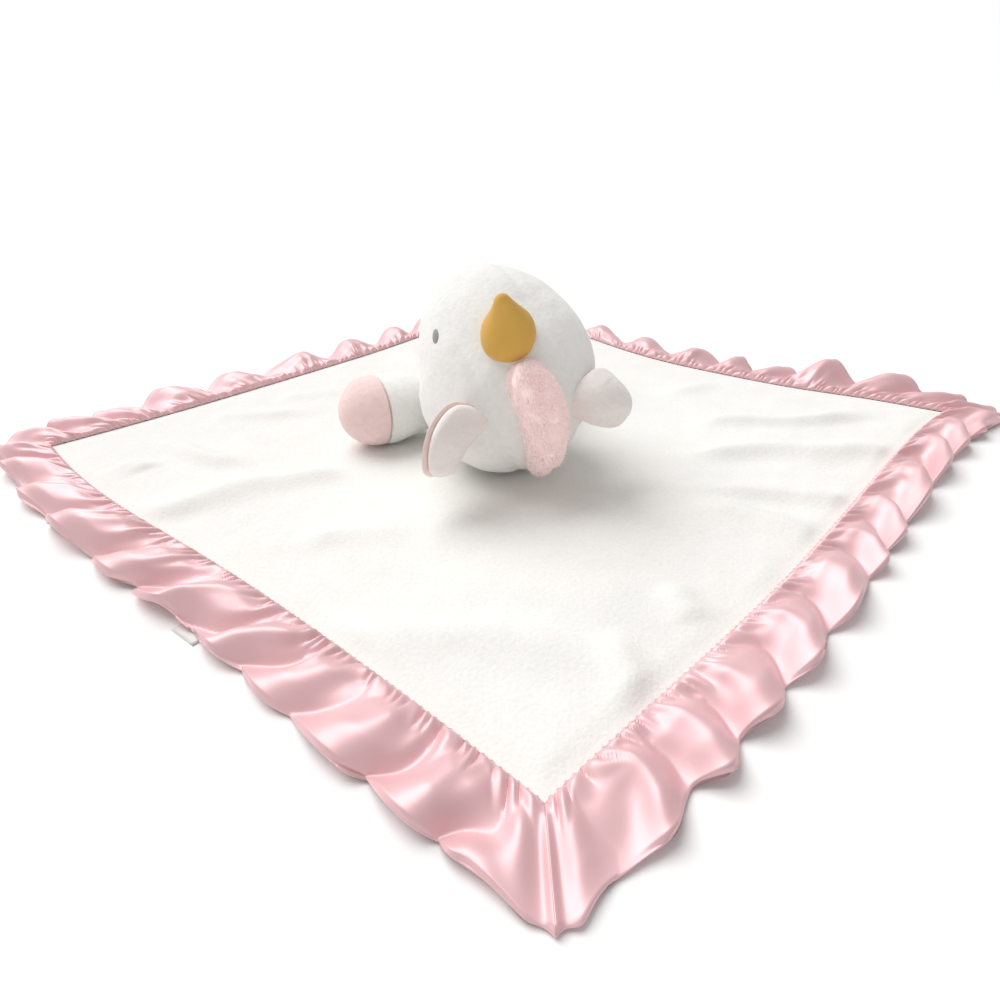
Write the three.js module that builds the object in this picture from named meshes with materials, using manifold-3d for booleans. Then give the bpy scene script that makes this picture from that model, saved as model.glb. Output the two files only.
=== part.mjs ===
// A comfort blanket lovey: a square plush blanket in a gathered satin binding, laid as a diamond, with a small
// stuffed unicorn sewn into its middle. The toy lies on its back, crown to the front corner, face up.
// Millimetres, +Z up, origin at the centre of the blanket's underside, front corner towards -Y.
import * as THREE from 'three';
import { mergeVertices } from 'three/addons/utils/BufferGeometryUtils.js';
import Module from 'manifold-3d';

const wasm = await Module();
wasm.setup();

// Blanket
const blanketSide = 380;
const bindingWidth = 25.4;
const seamAllowance = 8;
const panelWall = 1.6;
const pressedWall = 1;
const satinWall = 0.7;
const fitGap = 0.3;

// How far the laid cloth slips towards the front: soft bumps across the blanket, each [place, reach, slip] as
// shares of the blanket's side. The front half and the back half slip by other amounts.
const frontSlipShares = [
  [-0.526, 0.25, 0.079], [-0.158, 0.184, 0.021], [0.184, 0.158, 0.0184], [0.724, 0.105, 0.026],
];
const backSlipShares = [
  [-0.447, 0.289, 0.0763], [-0.184, 0.158, 0.0368], [0.258, 0.158, 0.1158], [0.4526, 0.1263, 0.0684],
  [0.645, 0.105, 0.0447],
];
const tipShare = 0.1;
const slipBlend = 60;

// Gathers of the binding
const puffCount = 11;
const puffRise = 3.4;
const edgeWave = 3.2;
const edgeLift = 2.6;
const foldShare = 0.14;
const mitreGap = 0.35;

// Folds of the top panel
const foldCount = 14;
const foldRise = 5;
const moundRise = 4.5;
const moundReach = 46;
const moundCentre = [8, -148];
const flatReach = 90;
const flatReachFront = 22;
const foldBlend = 34;
const rimSlope = 10;

// Care label
const labelWall = 0.4;
const labelWidth = 14;
const labelShow = 2;
const labelAlong = 29;

// Stuffed toy
const clothWall = 2;
const jointGap = 0.7;
const neckPivot = [0, -12, 24];
const neckRadius = 13;
const chestRadii = [16, 14, 12];
const chestHeight = 8;
const flangeWall = 1;
const flangeReach = 5;
const shoulderPlace = [20, -6, 20];
const shoulderRadius = 9;

// Head, in its own upright frame: +Y face, +Z crown
const headRadii = [39.5, 41.5, 43];
const headPlace = [0.4, -54.1, 46.2];
const headLean = THREE.MathUtils.degToRad(22);
const headYaw = THREE.MathUtils.degToRad(14);
const muzzleProud = 9.5;
const muzzleDrop = THREE.MathUtils.degToRad(20);
const muzzleTightness = 4;

// Horn and mane
const hornLength = 20.8;
const hornRadius = 11.2;
const hornSeat = THREE.MathUtils.degToRad(47.4);
const hornAim = THREE.MathUtils.degToRad(28.7);
const hornSide = THREE.MathUtils.degToRad(1.6);
const hornSunk = 5;
const hornRoot = 3;
const hornLean = -1.95;
const maneHalfWidth = 11.5;
const maneShift = 7.5;
const maneProud = 15;
const maneStart = THREE.MathUtils.degToRad(63);
const maneEnd = THREE.MathUtils.degToRad(129);
const maneTaperShare = 0.82;

// Ears
const earLength = 33;
const earWall = 5.2;
const liningWall = 1.8;
const liningInset = 2;
const earHalfWidth = 12;
const earCup = 3;
const earSunk = 1.5;

// Arms
const armReach = 52;
const hoofRadius = 17.1;
const hoofSeam = 49;
const armRootRadius = 9.8;
const leftArmTurn = THREE.MathUtils.degToRad(208);
const rightArmTurn = THREE.MathUtils.degToRad(78);

// Levels of the sewn layers, from the surface up
const bindingUnder = labelWall + fitGap;
const backSeamUnder = bindingUnder + satinWall + fitGap;
const topSeamUnder = backSeamUnder + pressedWall + fitGap;
const bindingSeamTop = topSeamUnder + pressedWall + fitGap + satinWall;
const flangeUnder = panelWall + fitGap;
const topPanelUnder = flangeUnder + flangeWall + fitGap;
const visibleHalf = blanketSide / 2 - bindingWidth;
const panelHalf = visibleHalf + seamAllowance;

const QUARTER = Math.PI / 2;
const DIAGONAL = Math.SQRT2;
const UP = new THREE.Vector3(0, 0, 1);

const finish = (color, roughness) => new THREE.MeshStandardMaterial({ color, roughness, metalness: 0 });
const plushWhite = finish(0xf7f6f2, 0.95);
const plushBack = finish(0xf4f2ee, 0.95);
const satinPink = finish(0xf3cdd0, 0.4);
const plushPink = finish(0xf2d9d3, 0.95);
const pilePink = finish(0xe6c3be, 1);
const goldCloth = finish(0xd4a84b, 0.8);
const liningPink = finish(0xecd0c9, 0.9);
const ribbonWhite = finish(0xf2efea, 0.6);
const fibreWhite = finish(0xfafafa, 1);

const smooth = (x, low, high) => {
  const t = Math.min(1, Math.max(0, (x - low) / (high - low)));
  return t * t * (3 - 2 * t);
};
const mix = (a, b, t) => a + (b - a) * t;

// Geometry helpers

// A mesh of points and faces, turned right side out when its signed volume is negative.
function facingOut(points, faces) {
  let volume = 0;
  for (const [a, b, c] of faces) {
    volume += points[a].dot(points[b].clone().cross(points[c]));
  }
  const order = volume < 0 ? faces.map(([a, b, c]) => [a, c, b]) : faces;
  const geometry = new THREE.BufferGeometry();
  geometry.setAttribute('position', new THREE.Float32BufferAttribute(points.flatMap((p) => p.toArray()), 3));
  geometry.setIndex(order.flat());
  return geometry;
}

// Joins rings of equally many points; the ends are closed by a fan, by a strip for a U section, or by each other.
function loft(rings, ends) {
  const count = rings[0].length;
  const points = rings.flat();
  const faces = [];
  const quad = (a, b, c, d) => faces.push([a, b, c], [a, c, d]);
  const spans = ends === 'loop' ? rings.length : rings.length - 1;
  for (let i = 0; i < spans; i += 1) {
    const here = i * count;
    const next = ((i + 1) % rings.length) * count;
    for (let j = 0; j < count; j += 1) {
      const k = (j + 1) % count;
      quad(here + j, here + k, next + k, next + j);
    }
  }
  if (ends !== 'loop') {
    for (const [start, side] of [[0, -1], [(rings.length - 1) * count, 1]]) {
      const triangle = (a, b, c) => faces.push(side > 0 ? [a, b, c] : [a, c, b]);
      if (ends === 'strip') {
        for (let j = 0; j < count / 2 - 1; j += 1) {
          const far = count - 1 - j;
          triangle(start + j, start + j + 1, start + far - 1);
          triangle(start + j, start + far - 1, start + far);
        }
      } else {
        const centre = new THREE.Vector3();
        for (let j = 0; j < count; j += 1) {
          centre.addScaledVector(points[start + j], 1 / count);
        }
        points.push(centre);
        for (let j = 0; j < count; j += 1) {
          triangle(start + j, start + ((j + 1) % count), points.length - 1);
        }
      }
    }
  }
  return facingOut(points, faces);
}

function toSolid(geometry) {
  const bare = geometry.clone();
  bare.deleteAttribute('normal');
  bare.deleteAttribute('uv');
  const merged = mergeVertices(bare);
  return new wasm.Manifold(new wasm.Mesh({
    numProp: 3,
    vertProperties: new Float32Array(merged.attributes.position.array),
    triVerts: new Uint32Array(merged.index.array),
  }));
}

function fromSolid(solid) {
  const mesh = solid.getMesh();
  const geometry = new THREE.BufferGeometry();
  geometry.setAttribute('position', new THREE.BufferAttribute(new Float32Array(mesh.vertProperties), 3));
  geometry.setIndex(new THREE.BufferAttribute(new Uint32Array(mesh.triVerts), 1));
  return geometry;
}

function ball(radii, place, around = 12, along = 8) {
  const geometry = new THREE.SphereGeometry(1, around, along);
  geometry.scale(...radii);
  geometry.translate(...place);
  return toSolid(geometry);
}

function named(name, geometry, material) {
  const shown = geometry.clone();
  shown.computeVertexNormals();
  const mesh = new THREE.Mesh(shown, material);
  mesh.name = name;
  return mesh;
}

// Blanket panels

// Distance from the centre to the edge of a diamond of the given half side, in one direction.
const diamondReach = (half, angle) => (half * DIAGONAL) / (Math.abs(Math.cos(angle)) + Math.abs(Math.sin(angle)));

function slip(bumpShares, share) {
  const bump = ([place, reach, size]) => size * Math.exp(-(((share - place) / reach) ** 2));
  return bumpShares.map(bump).reduce((sum, size) => sum + size, 0);
}

// Lays a point of the flat blanket down as cloth lies: it slips forward everywhere but where the toy is sewn on and
// at the tips of the front and back corners.
function lay(point) {
  const heldReach = chestRadii[0] + flangeReach;
  const away = Math.hypot(point.x - neckPivot[0], point.y - neckPivot[1]);
  const tip = smooth(Math.abs(point.y) * DIAGONAL / blanketSide, visibleHalf * 2 / blanketSide, 1);
  const free = smooth(away, heldReach, heldReach + slipBlend) * (1 - tip);
  const share = point.x / blanketSide;
  const edge = Math.max(1 / DIAGONAL - Math.abs(share), tipShare) * blanketSide;
  const back = smooth(point.y / edge, -1, 1);
  point.y -= free * blanketSide * mix(slip(frontSlipShares, share), slip(backSlipShares, share), back);
  return point;
}

const neckHole = () => chestRadii.slice(0, 2).map((radius) => radius - fitGap);

// Height of the top panel's folds above its flat level: creases that fan out from the toy, and a low mound in front.
function foldHeight(angle, reach) {
  const edge = diamondReach(visibleHalf, angle);
  const facing = Math.max(0, -Math.sin(angle));
  const flat = flatReach + flatReachFront * facing * facing;
  const open = smooth(reach, flat, flat + foldBlend) * (1 - smooth(reach / edge, 0.8, 0.97));
  const drift = reach / edge;
  const wave = 0.5 + 0.5 * Math.cos(foldCount * angle + drift + Math.sin(3 * angle));
  const uneven = 0.65 + 0.35 * Math.cos(2 * angle + 1);
  const away = Math.hypot(reach * Math.cos(angle) - moundCentre[0], reach * Math.sin(angle) - moundCentre[1]);
  const mound = moundRise * Math.exp(-((away / moundReach) ** 2));
  return open * (foldRise * wave ** 1.4 * uneven + mound);
}

function topPanel() {
  const ringShares = [0, 0.34, 0.55, 0.7, 0.84, 0.965];
  const turns = 76;
  const hole = neckHole();
  const rings = [];
  for (let i = 0; i < turns; i += 1) {
    const angle = (i / turns) * 2 * Math.PI;
    const aim = new THREE.Vector3(Math.cos(angle), Math.sin(angle), 0);
    const rim = new THREE.Vector3(hole[0] * aim.x, neckPivot[1] + hole[1] * aim.y, 0);
    const place = (share, half) => {
      const edge = aim.clone().multiplyScalar(diamondReach(half, angle));
      return rim.clone().lerp(edge, share);
    };
    const upper = ringShares.map((share) => place(share, visibleHalf));
    const lower = upper.map((point) => point.clone());
    for (const [points, lift] of [[upper, panelWall], [lower, 0]]) {
      for (const point of points) {
        point.z = topPanelUnder + lift + foldHeight(Math.atan2(point.y, point.x), Math.hypot(point.x, point.y));
      }
    }
    for (const half of [visibleHalf - fitGap, panelHalf]) {
      const point = place(1, half);
      upper.push(point.clone().setZ(topSeamUnder + pressedWall));
      lower.push(point.clone().setZ(topSeamUnder));
    }
    rings.push([...upper, ...lower.reverse()].map(lay));
  }
  return loft(rings, 'loop');
}

function backPanel() {
  const turns = 64;
  const square = (half, height) => Array.from({ length: turns }, (_, i) => {
    const angle = (i / turns) * 2 * Math.PI;
    const reach = diamondReach(half, angle);
    return lay(new THREE.Vector3(reach * Math.cos(angle), reach * Math.sin(angle), height));
  });
  const flatHalf = visibleHalf - rimSlope;
  return loft([
    square(flatHalf, 0),
    square(visibleHalf - fitGap, backSeamUnder),
    square(panelHalf, backSeamUnder),
    square(panelHalf, backSeamUnder + pressedWall),
    square(visibleHalf - fitGap, backSeamUnder + pressedWall),
    square(flatHalf, panelWall),
  ], 'fan');
}

// Satin binding: a folded strip that clasps both panels, its gathers drawn in at the seam and open at the edge.

function bindingSection(turn, share) {
  const fade = smooth(share, 0, 0.06) * (1 - smooth(share, 0.94, 1));
  const wander = 0.5 * Math.sin(2 * Math.PI * (2 * share + 0.37 * turn));
  const puff = (0.5 - 0.5 * Math.cos(2 * Math.PI * puffCount * share + wander)) * fade;
  const big = 0.8 + 0.2 * Math.sin(2 * Math.PI * (3 * share + 0.21 * turn));
  const rise = puffRise * puff * big;
  const width = bindingWidth - edgeWave * (1 - puff) * fade;
  const lift = edgeLift * puff * big;
  const seamTop = bindingSeamTop;
  const edge = bindingUnder + satinWall + fitGap + satinWall / 2;
  const firm = (seamAllowance + 2 * fitGap + satinWall) / bindingWidth;
  const outer = [
    [0, seamTop + rise / 3],
    [firm, seamTop + rise],
    [0.72, seamTop - satinWall + rise],
    [1, edge + lift],
    [firm, bindingUnder],
    [0, bindingUnder],
  ];
  const inner = outer.map(([across, height], i) => {
    if (across === 1) return [across - foldShare, height + satinWall / 2];
    return [across, height + (i < 3 ? -satinWall : satinWall)];
  });
  return [...outer, ...inner.reverse()].map(([across, height]) => [across * width, height]);
}

function binding(turn) {
  const stations = puffCount * 4;
  const aim = (turn + 0.5) * QUARTER;
  const outward = new THREE.Vector3(Math.cos(aim), Math.sin(aim), 0);
  const along = new THREE.Vector3(-Math.sin(aim), Math.cos(aim), 0);
  const rings = [];
  for (let i = 0; i <= stations; i += 1) {
    const share = i / stations;
    rings.push(bindingSection(turn, share).map(([across, height]) => {
      const far = visibleHalf + across;
      const run = (2 * share - 1) * (far - mitreGap);
      return lay(outward.clone().multiplyScalar(far).addScaledVector(along, run).setZ(height));
    }));
  }
  return loft(rings, 'strip');
}

function careLabel() {
  const length = bindingWidth + labelShow;
  const geometry = new THREE.BoxGeometry(length, labelWidth, labelWall);
  geometry.translate(visibleHalf + length / 2, labelAlong, labelWall / 2);
  geometry.rotateZ(2.5 * QUARTER);
  const position = geometry.attributes.position;
  const point = new THREE.Vector3();
  for (let i = 0; i < position.count; i += 1) {
    lay(point.fromBufferAttribute(position, i));
    position.setXYZ(i, ...point.toArray());
  }
  return geometry;
}

// Stuffed toy: one body sewn into the blanket, a head and two arms that turn on it

function bodyForm(inset) {
  const less = (radii) => radii.map((radius) => radius - inset);
  const neck = ball(less([neckRadius, neckRadius, neckRadius]), neckPivot, 16, 10);
  const chest = ball(less(chestRadii), [neckPivot[0], neckPivot[1], chestHeight]);
  let form = neck.add(chest);
  for (const side of [-1, 1]) {
    const place = [side * shoulderPlace[0], shoulderPlace[1], shoulderPlace[2]];
    form = form.add(ball(less([shoulderRadius, shoulderRadius, shoulderRadius]), place));
  }
  const barRadius = 0.8 * shoulderRadius - inset;
  const bar = new THREE.CylinderGeometry(barRadius, barRadius, 2 * shoulderPlace[0], 10);
  bar.rotateZ(QUARTER);
  bar.translate(0, shoulderPlace[1], shoulderPlace[2]);
  return form.add(toSolid(bar));
}

function above(height) {
  const span = blanketSide;
  const box = new THREE.BoxGeometry(span, span, span);
  box.translate(0, 0, height + span / 2);
  return toSolid(box);
}

function flangeDisc(reach) {
  const disc = new THREE.CylinderGeometry(1, 1, flangeWall, 24);
  disc.rotateX(QUARTER);
  disc.scale(chestRadii[0] + reach, chestRadii[1] + reach, 1);
  disc.translate(neckPivot[0], neckPivot[1], flangeUnder + flangeWall / 2);
  return toSolid(disc);
}

function bodyCover() {
  const outside = bodyForm(0).intersect(above(flangeUnder)).add(flangeDisc(flangeReach));
  return outside.subtract(bodyForm(clothWall));
}

function bodyFilling() {
  return bodyForm(clothWall + fitGap).intersect(above(flangeUnder));
}

// Radius of the head in one direction: an ellipsoid with a rounded muzzle that swells out below the face's middle.
function headRadius(aim) {
  const skull = 1 / Math.hypot(...aim.toArray().map((value, i) => value / headRadii[i]));
  const towards = Math.max(0, aim.y * Math.cos(muzzleDrop) - aim.z * Math.sin(muzzleDrop));
  return skull + muzzleProud * towards ** muzzleTightness;
}

function headForm(offset) {
  const geometry = new THREE.SphereGeometry(1, 24, 14);
  const position = geometry.attributes.position;
  const aim = new THREE.Vector3();
  for (let i = 0; i < position.count; i += 1) {
    aim.fromBufferAttribute(position, i).normalize();
    aim.multiplyScalar(headRadius(aim) + offset);
    position.setXYZ(i, aim.x, aim.y, aim.z);
  }
  return toSolid(geometry);
}

function headFrame() {
  const group = new THREE.Group();
  group.position.set(...headPlace);
  group.rotation.set(QUARTER, -headLean, headYaw, 'ZYX');
  group.updateMatrixWorld(true);
  return group;
}

const headGroup = headFrame();
const neckInHead = headGroup.worldToLocal(new THREE.Vector3(...neckPivot)).toArray();
const neckSocket = (radius) => ball([radius, radius, radius], neckInHead, 20, 12);

function headCover() {
  return headForm(0).subtract(headForm(-clothWall)).subtract(neckSocket(neckRadius + jointGap));
}

function headFilling() {
  return headForm(-clothWall - fitGap).subtract(neckSocket(neckRadius + jointGap + fitGap));
}

// Horn: a plump teardrop of stuffed cloth that leans over at its tip.
function hornForm(inset, base) {
  const outlineShares = [[0, 0.86], [0.14, 1], [0.32, 0.88], [0.5, 0.62], [0.66, 0.47], [0.8, 0.32], [0.92, 0.24]];
  const length = hornLength + hornSunk - inset;
  const profile = outlineShares.map(([far, wide]) => {
    const radius = Math.max(wide * hornRadius - inset, wide * hornRadius / 3);
    return new THREE.Vector2(radius, far * length);
  });
  profile[0].y = base;
  profile.unshift(new THREE.Vector2(0, base));
  profile.push(new THREE.Vector2(0, length));
  const geometry = new THREE.LatheGeometry(profile, 14);
  const position = geometry.attributes.position;
  for (let i = 0; i < position.count; i += 1) {
    const rise = position.getY(i) / hornLength;
    position.setX(i, position.getX(i) - hornLean * rise * rise);
  }
  const out = new THREE.Vector3(0, Math.cos(hornSeat), Math.sin(hornSeat)).applyAxisAngle(UP, -hornSide);
  const seat = out.clone().multiplyScalar(headRadius(out) - hornSunk);
  const aim = new THREE.Vector3(0, Math.cos(hornAim), Math.sin(hornAim));
  geometry.applyQuaternion(new THREE.Quaternion().setFromUnitVectors(new THREE.Vector3(0, 1, 0), aim));
  geometry.translate(...seat.toArray());
  return toSolid(geometry);
}

function hornCover() {
  const hollow = hornForm(clothWall, -hornRoot - fitGap);
  return hornForm(0, -hornRoot).subtract(hollow).subtract(headForm(fitGap));
}

function hornFilling() {
  return hornForm(clothWall + fitGap, -hornRoot).subtract(headForm(fitGap));
}

// Mane: a thick tuft of pile that runs from the horn over the crown, tapered at both ends.
function mane() {
  const stations = 13;
  const sides = 12;
  const rings = [];
  for (let i = 0; i <= stations; i += 1) {
    const share = i / stations;
    const turn = mix(maneStart, maneEnd, share);
    const aim = new THREE.Vector3(0, Math.cos(turn), Math.sin(turn));
    const seat = aim.clone().multiplyScalar(headRadius(aim));
    const swell = Math.sin(Math.PI * mix(0.12, 0.88, share)) ** 0.45;
    const tuft = 1 + 0.06 * Math.sin(5 * Math.PI * share);
    const taper = mix(1, maneTaperShare, share);
    rings.push(Array.from({ length: sides }, (_, j) => {
      const round = (j / sides) * 2 * Math.PI;
      const point = seat.clone().addScaledVector(aim, maneProud * swell * tuft * taper * Math.sin(round));
      point.x += maneHalfWidth * swell * taper * Math.cos(round) - maneShift * share ** 2;
      return point;
    }));
  }
  return toSolid(loft(rings, 'fan')).subtract(headForm(fitGap));
}

// Ears: cupped leaves sewn along a short root line on the crown, that twist and flop over as they leave it. The
// directions and the shares of the ear's length are in the head's own frame.
const ears = {
  left: {
    spread: THREE.MathUtils.degToRad(-31),
    forward: THREE.MathUtils.degToRad(4),
    bendShares: [-0.44, 0.12, 0.13],
    tipShares: [-0.58, -0.32, 0.1],
    rootLineShares: [0.46, 0.89, 0.02],
    tipLineShares: [-0.49, 0.3, 0.82],
    face: -1,
  },
  right: {
    spread: THREE.MathUtils.degToRad(19.5),
    forward: THREE.MathUtils.degToRad(-7),
    bendShares: [0.5, -0.05, 0.24],
    tipShares: [0.72, -0.5, -0.09],
    rootLineShares: [0.5, 0.82, -0.22],
    tipLineShares: [0.35, 0.83, -0.46],
    face: 1,
  },
};

function earRoot({ spread, forward }) {
  const level = Math.cos(forward);
  const aim = new THREE.Vector3(level * Math.sin(spread), Math.sin(forward), level * Math.cos(spread));
  return aim.multiplyScalar(headRadius(aim) - earSunk);
}

// A leaf between two depths below the ear's outer face, its root cut to lie along the head.
function earLeaf(ear, near, far, inset) {
  const root = earRoot(ear);
  const from = (shares) => new THREE.Vector3(...shares).multiplyScalar(earLength).add(root);
  const route = new THREE.QuadraticBezierCurve3(root, from(ear.bendShares), from(ear.tipShares));
  const rootLine = new THREE.Vector3(...ear.rootLineShares).normalize();
  const tipLine = new THREE.Vector3(...ear.tipLineShares).normalize();
  const shapeShares = [
    [0, 0.5], [0.14, 0.74], [0.28, 0.92], [0.38, 0.98], [0.47, 1], [0.56, 1], [0.66, 0.97], [0.77, 0.9], [0.87, 0.8],
    [0.935, 0.68], [1, 0.48],
  ];
  const columns = 6;
  const rings = shapeShares.filter(([share]) => share <= 1 - inset / earLength).map(([share, wide]) => {
    const middle = route.getPoint(share);
    const across = rootLine.clone().lerp(tipLine, share).normalize();
    const outward = route.getTangent(share).cross(across).multiplyScalar(ear.face).normalize();
    const outerHalf = earHalfWidth * wide;
    const half = outerHalf - inset;
    const place = (column, depth) => {
      const side = (2 * column) / columns - 1;
      const cup = earCup * share * ((half * side) / outerHalf) ** 2;
      return middle.clone().addScaledVector(across, half * side).addScaledVector(outward, -cup - depth);
    };
    const numbers = Array.from({ length: columns + 1 }, (_, j) => j);
    return [...numbers.map((j) => place(j, near)), ...numbers.reverse().map((j) => place(j, far))];
  });
  return toSolid(loft(rings, 'strip')).subtract(headForm(fitGap));
}

// Arms: short limbs that swell towards the hoof, each a lathe form about its own axis from the shoulder.

function armRadius(reach, inset) {
  const round = (hoofRadius - inset) ** 2 - Math.max(0, reach - armReach) ** 2;
  const leg = mix(armRootRadius, hoofRadius, smooth(reach, shoulderRadius, 0.85 * armReach)) - inset;
  return Math.min(Math.sqrt(Math.max(0, round)), leg);
}

// Every form of the arm has its rings at the same reaches, so that each lies evenly inside the next.
function armForm(inset, from, to) {
  const steps = 6;
  const tip = armReach + hoofRadius - inset;
  const last = Math.min(to, tip);
  const reaches = [from, last];
  for (let i = 0; i <= steps; i += 1) {
    const share = i / steps;
    reaches.push(mix(shoulderRadius, hoofSeam, share), mix(hoofSeam, tip, Math.sin(share * QUARTER)));
  }
  const kept = [...new Set(reaches)].filter((reach) => reach >= from && reach <= last).sort((a, b) => a - b);
  const profile = kept.map((reach) => new THREE.Vector2(armRadius(reach, inset), reach));
  profile.unshift(new THREE.Vector2(0, from));
  if (last < tip) {
    profile.push(new THREE.Vector2(0, last));
  }
  return toSolid(new THREE.LatheGeometry(profile, 14));
}

// The limb's own frame at the shoulder, turned so that its hoof rests on the top panel.
function armFrame(side, turn) {
  const shoulder = new THREE.Vector3(side * shoulderPlace[0], shoulderPlace[1], shoulderPlace[2]);
  const hoofRise = topPanelUnder + panelWall + fitGap + hoofRadius - shoulder.z;
  const run = Math.sqrt(armReach ** 2 - hoofRise ** 2);
  const aim = new THREE.Vector3(run * Math.cos(turn), run * Math.sin(turn), hoofRise).normalize();
  const group = new THREE.Group();
  group.position.copy(shoulder);
  group.quaternion.setFromUnitVectors(new THREE.Vector3(0, 1, 0), aim);
  return group;
}

function armPieces(name, side, turn) {
  const group = armFrame(side, turn);
  const start = 0.8 * shoulderRadius;
  const end = armReach + 2 * hoofRadius;
  const socket = (extra) => {
    const radius = shoulderRadius + jointGap + extra;
    return ball([radius, radius, radius], [0, 0, 0], 16, 10);
  };
  const cover = armForm(0, start, hoofSeam).subtract(armForm(clothWall, start - fitGap, hoofSeam + fitGap));
  const hoof = armForm(0, hoofSeam + fitGap, end).subtract(armForm(clothWall, hoofSeam, end));
  const filling = armForm(clothWall + fitGap, start, end);
  group.add(
    named(`${name}_arm_cover`, fromSolid(cover.subtract(socket(0))), plushWhite),
    named(`${name}_hoof_cover`, fromSolid(hoof), plushPink),
    named(`${name}_arm_filling`, fromSolid(filling.subtract(socket(fitGap))), fibreWhite),
  );
  return group;
}

// Assembly

function blanket() {
  const group = new THREE.Group();
  group.add(
    named('blanket_top_panel', topPanel(), plushWhite),
    named('blanket_back_panel', backPanel(), plushBack),
    named('care_label', careLabel(), ribbonWhite),
  );
  const sideNames = ['back_right', 'back_left', 'front_left', 'front_right'];
  sideNames.forEach((side, turn) => group.add(named(`ruffle_${side}`, binding(turn), satinPink)));
  return group;
}

function toy() {
  const group = new THREE.Group();
  for (const [name, ear] of Object.entries(ears)) {
    const liningTop = earWall + fitGap;
    const lining = earLeaf(ear, liningTop, liningTop + liningWall, liningInset);
    headGroup.add(
      named(`${name}_ear_outer`, fromSolid(earLeaf(ear, 0, earWall, 0)), plushWhite),
      named(`${name}_ear_lining`, fromSolid(lining), liningPink),
    );
  }
  headGroup.add(
    named('head_cover', fromSolid(headCover()), plushWhite),
    named('head_filling', fromSolid(headFilling()), fibreWhite),
    named('horn_cover', fromSolid(hornCover()), goldCloth),
    named('horn_filling', fromSolid(hornFilling()), fibreWhite),
    named('mane', fromSolid(mane()), pilePink),
  );
  group.add(
    named('body_cover', fromSolid(bodyCover()), plushWhite),
    named('body_filling', fromSolid(bodyFilling()), fibreWhite),
    armPieces('left', -1, leftArmTurn),
    armPieces('right', 1, rightArmTurn),
    headGroup,
  );
  return group;
}

const lovey = new THREE.Group();
lovey.add(blanket(), toy());

export default lovey;
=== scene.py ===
"""Looks of a comfort blanket lovey: plush panels in a gathered satin binding, with a small stuffed unicorn.

Sizes are in millimetres, as in the part's source, and meshes are in metres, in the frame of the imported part:
+Z up from the surface that the blanket lies on, -Y to the front corner, +X to the right corner.
"""

from __future__ import annotations

import logging
import math
from dataclasses import dataclass, field
from enum import Enum

import bpy
import numpy as np
from mathutils import Matrix, Vector

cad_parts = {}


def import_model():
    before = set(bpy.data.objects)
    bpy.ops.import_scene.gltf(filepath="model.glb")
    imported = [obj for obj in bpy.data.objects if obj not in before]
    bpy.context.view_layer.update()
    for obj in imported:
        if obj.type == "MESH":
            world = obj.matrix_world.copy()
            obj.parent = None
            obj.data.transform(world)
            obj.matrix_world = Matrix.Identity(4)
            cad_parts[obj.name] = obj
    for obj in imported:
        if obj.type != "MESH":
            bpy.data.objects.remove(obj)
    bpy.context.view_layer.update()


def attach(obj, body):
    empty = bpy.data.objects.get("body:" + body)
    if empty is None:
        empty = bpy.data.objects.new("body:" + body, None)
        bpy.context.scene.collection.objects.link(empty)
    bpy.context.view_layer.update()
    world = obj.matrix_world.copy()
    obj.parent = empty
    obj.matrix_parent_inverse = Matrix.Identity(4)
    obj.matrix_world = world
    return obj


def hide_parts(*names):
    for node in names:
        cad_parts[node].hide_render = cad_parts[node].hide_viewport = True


MM = 0.001
TURN = 2 * math.pi
QUARTER = math.pi / 2
UP = np.array([0.0, 0.0, 1.0])
RIPPLE_RATE_SHARES = (0.7, 1.4)
LINE_RATE_SHARES = (0.6, 1.5)
SEEDS_PER_SIDE = 7

log = logging.getLogger("lovey")

Triple = tuple[float, float, float]


# Arrays


def smooth(x: np.ndarray | float, low: float, high: float) -> np.ndarray:
    """Eases from 0 at low to 1 at high: 3t^2 - 2t^3, with t the clipped share of the way.

    Args:
        x: Values to ease.
        low: Value at which the result is 0.
        high: Value at which the result is 1.

    Returns:
        The eased values.
    """
    t = np.clip((np.asarray(x, float) - low) / (high - low), 0, 1)
    return t * t * (3 - 2 * t)


def off_ends(share: np.ndarray, reach: float) -> np.ndarray:
    """Eases from 0 at both ends of a side to 1 at a reach from them, all in shares of its length."""
    return smooth(share, 0, reach) * smooth(1 - share, 0, reach)


def mix(a: np.ndarray | float, b: np.ndarray | float, t: np.ndarray | float) -> np.ndarray:
    """Goes from a to b as t goes from 0 to 1."""
    return a + (b - a) * t


def bell(x: np.ndarray | float) -> np.ndarray:
    """Bell curve, 1 at 0: e to the power of minus x squared."""
    return np.exp(-(x**2))


def unit(v: np.ndarray) -> np.ndarray:
    """Vectors scaled to length 1 along the last axis."""
    return v / np.maximum(np.linalg.norm(v, axis=-1, keepdims=True), 1e-12)


def turned(angle: float, axis: str) -> np.ndarray:
    """The 3 by 3 rotation about X, Y or Z by an angle in radians."""
    return np.array(Matrix.Rotation(angle, 3, axis), float)


def directions(rows: int, columns: int, pole_gap: float) -> np.ndarray:
    """Directions all round a middle, in rows about the X axis.

    A direction is (cos tilt, sin tilt cos turn, sin tilt sin turn), with the tilt from one pole to the other
    and the turn once round.

    Args:
        rows: Number of tilts.
        columns: Number of turns.
        pole_gap: Tilt of the first row from its pole in radians.

    Returns:
        The directions, of shape rows by columns by 3.
    """
    tilts = np.linspace(pole_gap, math.pi - pole_gap, rows)
    tilt, turn = np.meshgrid(tilts, np.arange(columns) / columns * TURN, indexing="ij")
    return np.stack([np.cos(tilt), np.sin(tilt) * np.cos(turn), np.sin(tilt) * np.sin(turn)], -1)


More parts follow.
